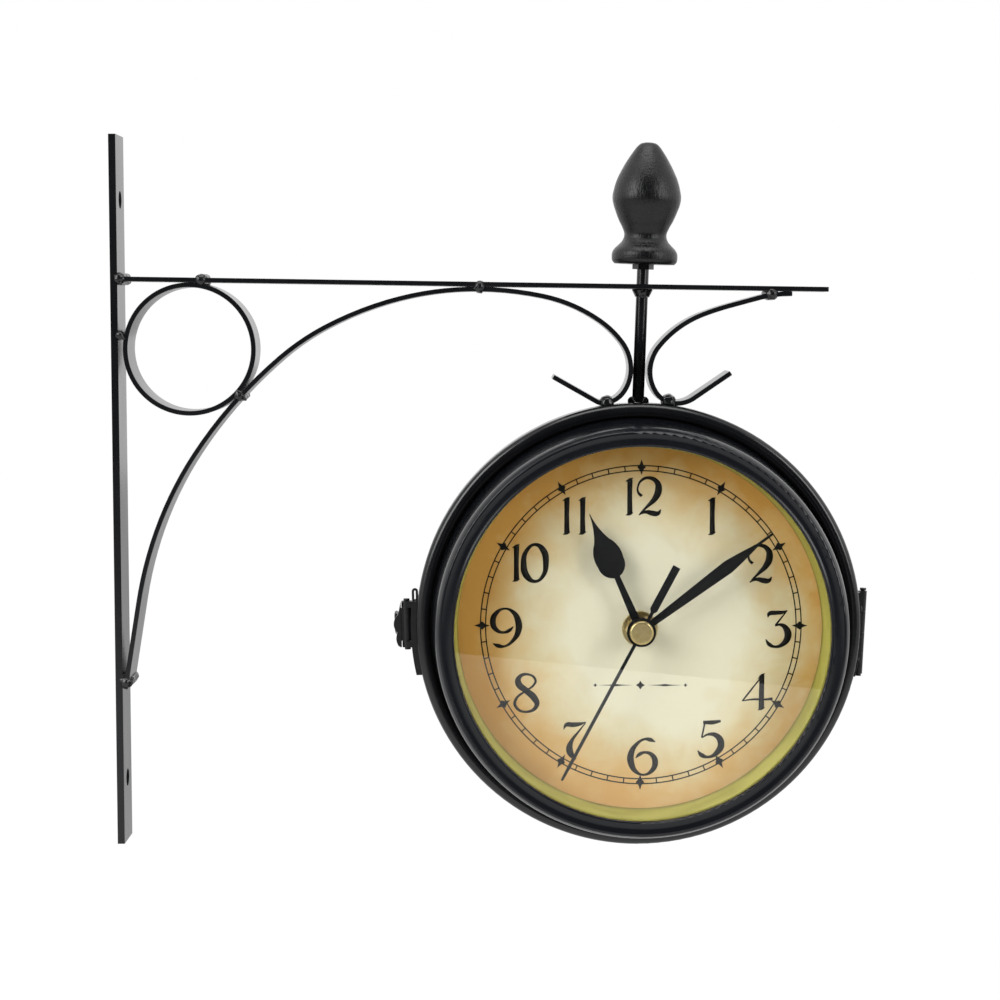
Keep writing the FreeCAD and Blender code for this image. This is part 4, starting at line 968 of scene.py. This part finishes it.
@dataclass
class DialPrint:
    """Minute track, hour marks, numerals and a plain ornament, printed on one dial."""

    face: float = -18.2 * MM
    ink: float = 0.03 * MM
    stroke_lift: float = 0.006
    track: tuple[float, float] = (58.0 * MM, 59.9 * MM)
    shift: tuple[float, float] = (0.35 * MM, 1.2 * MM)
    line: float = 0.46 * MM
    mark: tuple[float, float] = (3.0 * MM, 1.6 * MM)
    mark_radius: float = 59.3 * MM
    ornament_x: float = 0.3 * MM
    ornament_z: float = -21.3 * MM
    lozenges: tuple[Point, ...] = ((0.0, 1.7, 1.7), (-9.2, 0.42, 6.6), (-16.9, 0.75, 0.75),
                                   (9.2, 0.42, 6.6), (16.9, 0.75, 0.75))
    places: dict[int, tuple[float, float]] = field(default_factory=lambda: {
        12: (1.0, 49.5), 1: (26.7, 42.2), 2: (44.7, 24.3), 3: (51.4, 0.0), 4: (43.9, -23.8),
        5: (26.6, -41.7), 6: (1.0, -48.4), 7: (-24.3, -42.2), 8: (-42.4, -24.3),
        9: (-49.7, 0.3), 10: (-41.1, 24.7), 11: (-24.5, 42.3)})
    numerals: dict[int, tuple[tuple[Glyph, float], ...]] = field(default_factory=lambda: {
        12: ((ONE, -5.05), (TWO, 2.2)), 1: ((ONE, 0.0),), 2: ((TWO, 0.0),), 3: ((THREE, 0.0),),
        4: ((FOUR, 0.0),), 5: ((FIVE, 0.0),), 6: ((SIX, 0.0),), 7: ((SEVEN, 0.0),),
        8: ((EIGHT, 0.0),), 9: ((NINE, 0.0),), 10: ((ONE, -5.1), (NAUGHT, 1.85)),
        11: ((ONE, -2.95), (ONE, 2.95))})

    def spot(self, x: float, lift: float, z: float) -> Vector:
        """Place on the front dial: x and z from its middle, lift from its face."""
        return Vector((CLOCK[0] + x, self.face - lift, CLOCK[2] + z))

    def pen(self) -> Piece:
        """Nib of the pen, a flat line one unit to each side."""
        data = bpy.data.curves.new("pen", "CURVE")
        nib = data.splines.new("POLY")
        nib.points.add(1)
        nib.points[0].co = (-1, 0, 0, 1)
        nib.points[1].co = (1, 0, 0, 1)
        return drawn(data)

    def written(self, glyph: Glyph, pen: Piece) -> Piece:
        """Write one glyph flat at the origin and make it a mesh.

        Args:
            glyph: what is written.
            pen: the nib.

        Returns:
            The mesh, in millimetres, on the X-Y plane.
        """
        data = bpy.data.curves.new("glyph", "CURVE")
        data.dimensions = "3D"
        data.twist_mode = "Z_UP"
        data.resolution_u = 10
        data.bevel_mode = "OBJECT"
        data.bevel_object = pen
        for number, stroke in enumerate(glyph.strokes):
            line = smooth_line(data, [(x, z, number * self.stroke_lift) for x, z, _ in stroke])
            line.radius_interpolation = "CARDINAL"
            line.use_cyclic_u = glyph.closed
            for point, (_, _, half) in zip(line.bezier_points, stroke):
                point.radius = half
        return meshed(drawn(data))

    def numeral_pieces(self) -> list[Piece]:
        """All numerals, in place on the front dial."""
        pen = self.pen()
        pieces = []
        for hour, glyphs in self.numerals.items():
            for glyph, offset in glyphs:
                piece = self.written(glyph, pen)
                x, z = self.places[hour]
                piece.rotation_euler = UPRIGHT
                piece.scale = (MM, MM, MM)
                piece.location = self.spot((x + offset) * MM, self.ink, z * MM)
                pieces.append(settle(piece))
        bpy.data.objects.remove(pen)
        return pieces

    def ring(self, radius: float) -> Piece:
        """Thin printed circle.

        Args:
            radius: middle of its line.

        Returns:
            The flat ring.
        """
        outside = radius + self.line / 2
        bpy.ops.mesh.primitive_circle_add(vertices=240, radius=outside,
                                          rotation=UPRIGHT)
        piece = settle(named("track_line"))
        edit(piece)
        bpy.ops.mesh.extrude_edges_move()
        share = (radius - self.line / 2) / outside
        bpy.ops.transform.resize(value=(share, 1, share), center_override=(0, 0, 0))
        done()
        return piece

    def bar(self, width: float, low: float, high: float) -> Piece:
        """Flat bar across the track at twelve.

        Args:
            width: width of the bar.
            low: nearest distance to the track's centre.
            high: furthest distance.

        Returns:
            The bar.
        """
        bpy.ops.mesh.primitive_plane_add(size=1, rotation=UPRIGHT,
                                         location=(0, 0, (low + high) / 2))
        piece = named("minute_bar")
        piece.scale = (width, high - low, 1)
        return settle(piece)

    def lozenge(self, reach: tuple[float, float], height: float) -> Piece:
        """Four-pointed mark with hollow sides.

        Args:
            reach: half length up and half width.
            height: height of its middle.

        Returns:
            The mark.
        """
        bpy.ops.mesh.primitive_circle_add(vertices=8, radius=1, fill_type="TRIFAN",
                                          rotation=UPRIGHT)
        piece = settle(named("hour_mark"))
        for vertex in piece.data.vertices:
            x, _, z = vertex.co
            corner = min(abs(x), abs(z)) > 0.1
            draw = 0.53 if corner else 1.0
            vertex.co = (x * draw * reach[1], 0, z * draw * reach[0] + height)
        return piece

    def around(self, piece: Piece, count: int,
               skip: int = 0) -> list[Piece]:
        """Copies of a mark round the track.

        Args:
            piece: the mark at twelve, which is used up.
            count: how many places there are.
            skip: every place that this divides is left out, or none for 0.

        Returns:
            The copies.
        """
        copies = []
        for number in range(count):
            if skip and number % skip == 0:
                continue
            copy = twin(piece, "mark_copy")
            copy.data.transform(Matrix.Rotation(2 * math.pi * number / count, 4, "Y"))
            copies.append(copy)
        bpy.data.objects.remove(piece)
        return copies

    def ornament(self) -> list[Piece]:
        """Small lozenge between two tapered lines, below the centre."""
        pieces = []
        for x, high, wide in self.lozenges:
            piece = self.lozenge((high * MM, wide * MM), 0.0)
            place = self.spot(self.ornament_x + x * MM, self.ink, self.ornament_z)
            piece.data.transform(Matrix.Translation(place))
            pieces.append(piece)
        return pieces

    def track_pieces(self) -> list[Piece]:
        """Track lines, minute bars and hour marks, in place on the front dial."""
        low, high = self.track
        pieces = [self.ring(low), self.ring(high)]
        pieces += self.around(self.bar(self.line, low, high), 60, 5)
        marks = self.around(self.lozenge(self.mark, self.mark_radius), 12)
        for piece in pieces + marks:
            lift = 2.5 * self.ink if piece in marks else self.ink
            piece.data.transform(Matrix.Translation(self.spot(self.shift[0], lift,
                                                              self.shift[1])))
        return pieces + marks

    def print_on(self, half: Half, master: Piece) -> None:
        """Put the print on one dial.

        Args:
            half: the half whose dial it is.
            master: the print of the front dial.
        """
        name = half.value + "_dial_print"
        piece = master if half is Half.FRONT else twin(master, name)
        piece.name = name
        if half is Half.REAR:
            about = Matrix.Translation(Vector(CLOCK))
            piece.data.transform(about @ Matrix.Rotation(math.pi, 4, "Z") @ about.inverted())
        finish_piece(piece, "root" if half is Half.FRONT else "rear_half", "dial")
        piece.data.materials.clear()
        piece.data.materials.append(INK)

    def build(self) -> None:
        """Print both dials."""
        master = join("front_dial_print",
                      self.track_pieces() + self.numeral_pieces() + self.ornament())
        edit(master)
        bpy.ops.mesh.normals_make_consistent(inside=False)
        done()
        modify(master, "SOLIDIFY", thickness=self.ink * 0.8, offset=0.0)
        for half in (Half.REAR, Half.FRONT):
            self.print_on(half, master)


# ---------------- drum, fittings and hands
@dataclass
class Fittings:
    """Hinge, latch and hands with eased edges."""

    fine: float = 0.12 * MM
    hand: float = 0.07 * MM
    riders: dict[str, str] = field(default_factory=lambda: {
        "hinge_leaf_front": "root", "hinge_leaf_rear": "rear_half", "latch_base": "root",
        "latch_lever": "latch_lever", "latch_strike": "rear_half"})

    def build(self) -> None:
        """Ease the edges of the stamped pieces and of the hands."""
        for node, body in self.riders.items():
            finish_piece(eased(node, self.fine), body, "fittings", (node,))
        for half in Half:
            for hand in ("hour", "minute", "second"):
                node = f"{half.value}_{hand}_hand"
                finish_piece(eased(node, self.hand), f"{half.value}_{hand}", "hand_black",
                             (node,))


def dress_nodes() -> None:
    """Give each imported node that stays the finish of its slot."""
    slots = {part["node"]: part["material_slot"] for part in frame["record"]["subparts"]}
    for name, piece in frame["nodes"].items():
        slot = slots[name]
        for index in range(max(1, len(piece.data.materials))):
            if piece.data.materials:
                piece.data.materials[index] = SLOTS[slot]
            else:
                piece.data.materials.append(SLOTS[slot])
        LOG.info("%s keeps its shape, finish %s", name, slot)


# ---------------- studio
@dataclass(frozen=True)
class SoftBox:
    """Rectangular lamp aimed at a point."""

    name: str
    place: Point
    aim: Point
    size: tuple[float, float]
    power: float

    def build(self) -> None:
        """Hang the lamp."""
        bpy.ops.object.light_add(type="AREA", location=self.place)
        lamp = bpy.context.object
        lamp.name = self.name
        lamp.data.shape = "RECTANGLE"
        lamp.data.size, lamp.data.size_y = self.size
        lamp.data.energy = self.power
        way = Vector(self.aim) - Vector(self.place)
        lamp.rotation_euler = way.to_track_quat("-Z", "Y").to_euler()


@dataclass
class Studio:
    """Camera, lamps, white surroundings and a pale floor."""

    camera: Point = (0.14564, -0.869, 0.06816)
    pitch: float = 85.3
    lens: float = 82.55
    fill: float = 0.50
    floor_drop: float = -0.42
    floor_white: float = 1.05
    floor_seen: float = 0.92
    floor_mirrored: float = 0.26
    lamps: tuple[SoftBox, ...] = (
        SoftBox("left_box", (-0.75, -0.75, 0.55), (0.19, 0, -0.03), (0.55, 0.85), 8.0),
        SoftBox("right_box", (1.05, -0.70, 0.40), (0.19, 0, -0.03), (0.35, 0.75), 4.2),
        SoftBox("top_box", (0.15, -0.25, 1.15), (0.15, 0, 0.0), (0.9, 0.6), 4.5),
    )
    card_place: Point = (0.30, -1.50, 0.96)
    card_size: tuple[float, float] = (4.2, 2.5)
    card_tilt: float = 5.7

    def build(self) -> None:
        """Set up the studio."""
        self.hang_lamps()
        self.place_camera()
        self.surround()
        self.lay_floor()
        self.stand_card()

    def hang_lamps(self) -> None:
        """Hang all lamps."""
        for lamp in self.lamps:
            lamp.build()

    def place_camera(self) -> None:
        """Put the camera where the photograph was taken from."""
        bpy.ops.object.camera_add(location=self.camera,
                                  rotation=(math.radians(self.pitch), 0, 0))
        camera = bpy.context.object
        camera.name = "photo_camera"
        camera.data.lens = self.lens
        camera.data.sensor_width = 36.0
        bpy.context.scene.camera = camera

    def surround(self) -> None:
        """White surroundings for the camera and for reflections, soft light for the rest."""
        world = bpy.data.worlds.new("surroundings")
        bpy.context.scene.world = world
        world.use_nodes = True
        tree = world.node_tree
        back = tree.nodes["Background"]
        path = tree.nodes.new("ShaderNodeLightPath")
        seen = path.outputs["Is Camera Ray"]
        for ray in ("Is Glossy Ray", "Is Transmission Ray"):
            either = tree.nodes.new("ShaderNodeMath")
            either.operation = "MAXIMUM"
            tree.links.new(seen, either.inputs[0])
            tree.links.new(path.outputs[ray], either.inputs[1])
            seen = either.outputs[0]
        level = tree.nodes.new("ShaderNodeMapRange")
        level.inputs["To Min"].default_value = self.fill
        level.inputs["To Max"].default_value = 1.0
        tree.links.new(seen, level.inputs["Value"])
        tree.links.new(level.outputs["Result"], back.inputs["Strength"])
        back.inputs["Color"].default_value = (1, 1, 1, 1)

    def lay_floor(self) -> None:
        """Pale floor that keeps the shadow and joins the white behind it."""
        bpy.ops.mesh.primitive_plane_add(size=12, location=(0.1, 0, self.floor_drop))
        floor = settle(named("studio_floor"))
        graph = Graph("pale_floor")
        graph.set(Base_Color=(0.9, 0.9, 0.9), Roughness=0.9)
        white = graph.node("ShaderNodeEmission")
        white.inputs["Strength"].default_value = self.floor_white
        path = graph.node("ShaderNodeLightPath")
        mirrored = graph.maths("MULTIPLY", path.outputs["Is Glossy Ray"], self.floor_mirrored)
        through = graph.maths("MAXIMUM", path.outputs["Is Camera Ray"],
                              path.outputs["Is Transmission Ray"])
        seen = graph.maths("MULTIPLY", through, self.floor_seen)
        mix = graph.node("ShaderNodeMixShader")
        graph.put(mix.inputs[0], graph.maths("MAXIMUM", seen, mirrored))
        graph.put(mix.inputs[1], graph.shader.outputs[0])
        graph.put(mix.inputs[2], white.outputs[0])
        graph.put(graph.output.inputs["Surface"], mix.outputs[0])
        floor.data.materials.append(graph.material)

    def stand_card(self) -> None:
        """Dark card behind the camera, which only gloss and glass show."""
        bpy.ops.mesh.primitive_plane_add(size=1)
        card = named("dark_card")
        card.scale = (*self.card_size, 1)
        card.rotation_euler = (math.radians(90), math.radians(self.card_tilt), 0)
        card.location = self.card_place
        graph = Graph("dark_card")
        graph.set(Base_Color=(0.012, 0.012, 0.013), Roughness=0.9, Specular_IOR_Level=0.0)
        settle(card).data.materials.append(graph.material)
        card.visible_camera = False
        card.visible_diffuse = False
        card.visible_shadow = False


def main() -> None:
    """Build the studio and every piece in order."""
    logging.basicConfig(level=logging.INFO, format="%(message)s")
    scene = bpy.context.scene
    scene.view_settings.view_transform = "Standard"
    bpy.ops.object.select_all(action="DESELECT")
    Studio().build()
    bracket = Bracket()
    bracket.strip_pieces()
    bracket.weld_pieces()
    bracket.finial_piece()
    Fittings().build()
    DialPrint().build()
    dress_nodes()


if __name__ == "__main__":
    main()
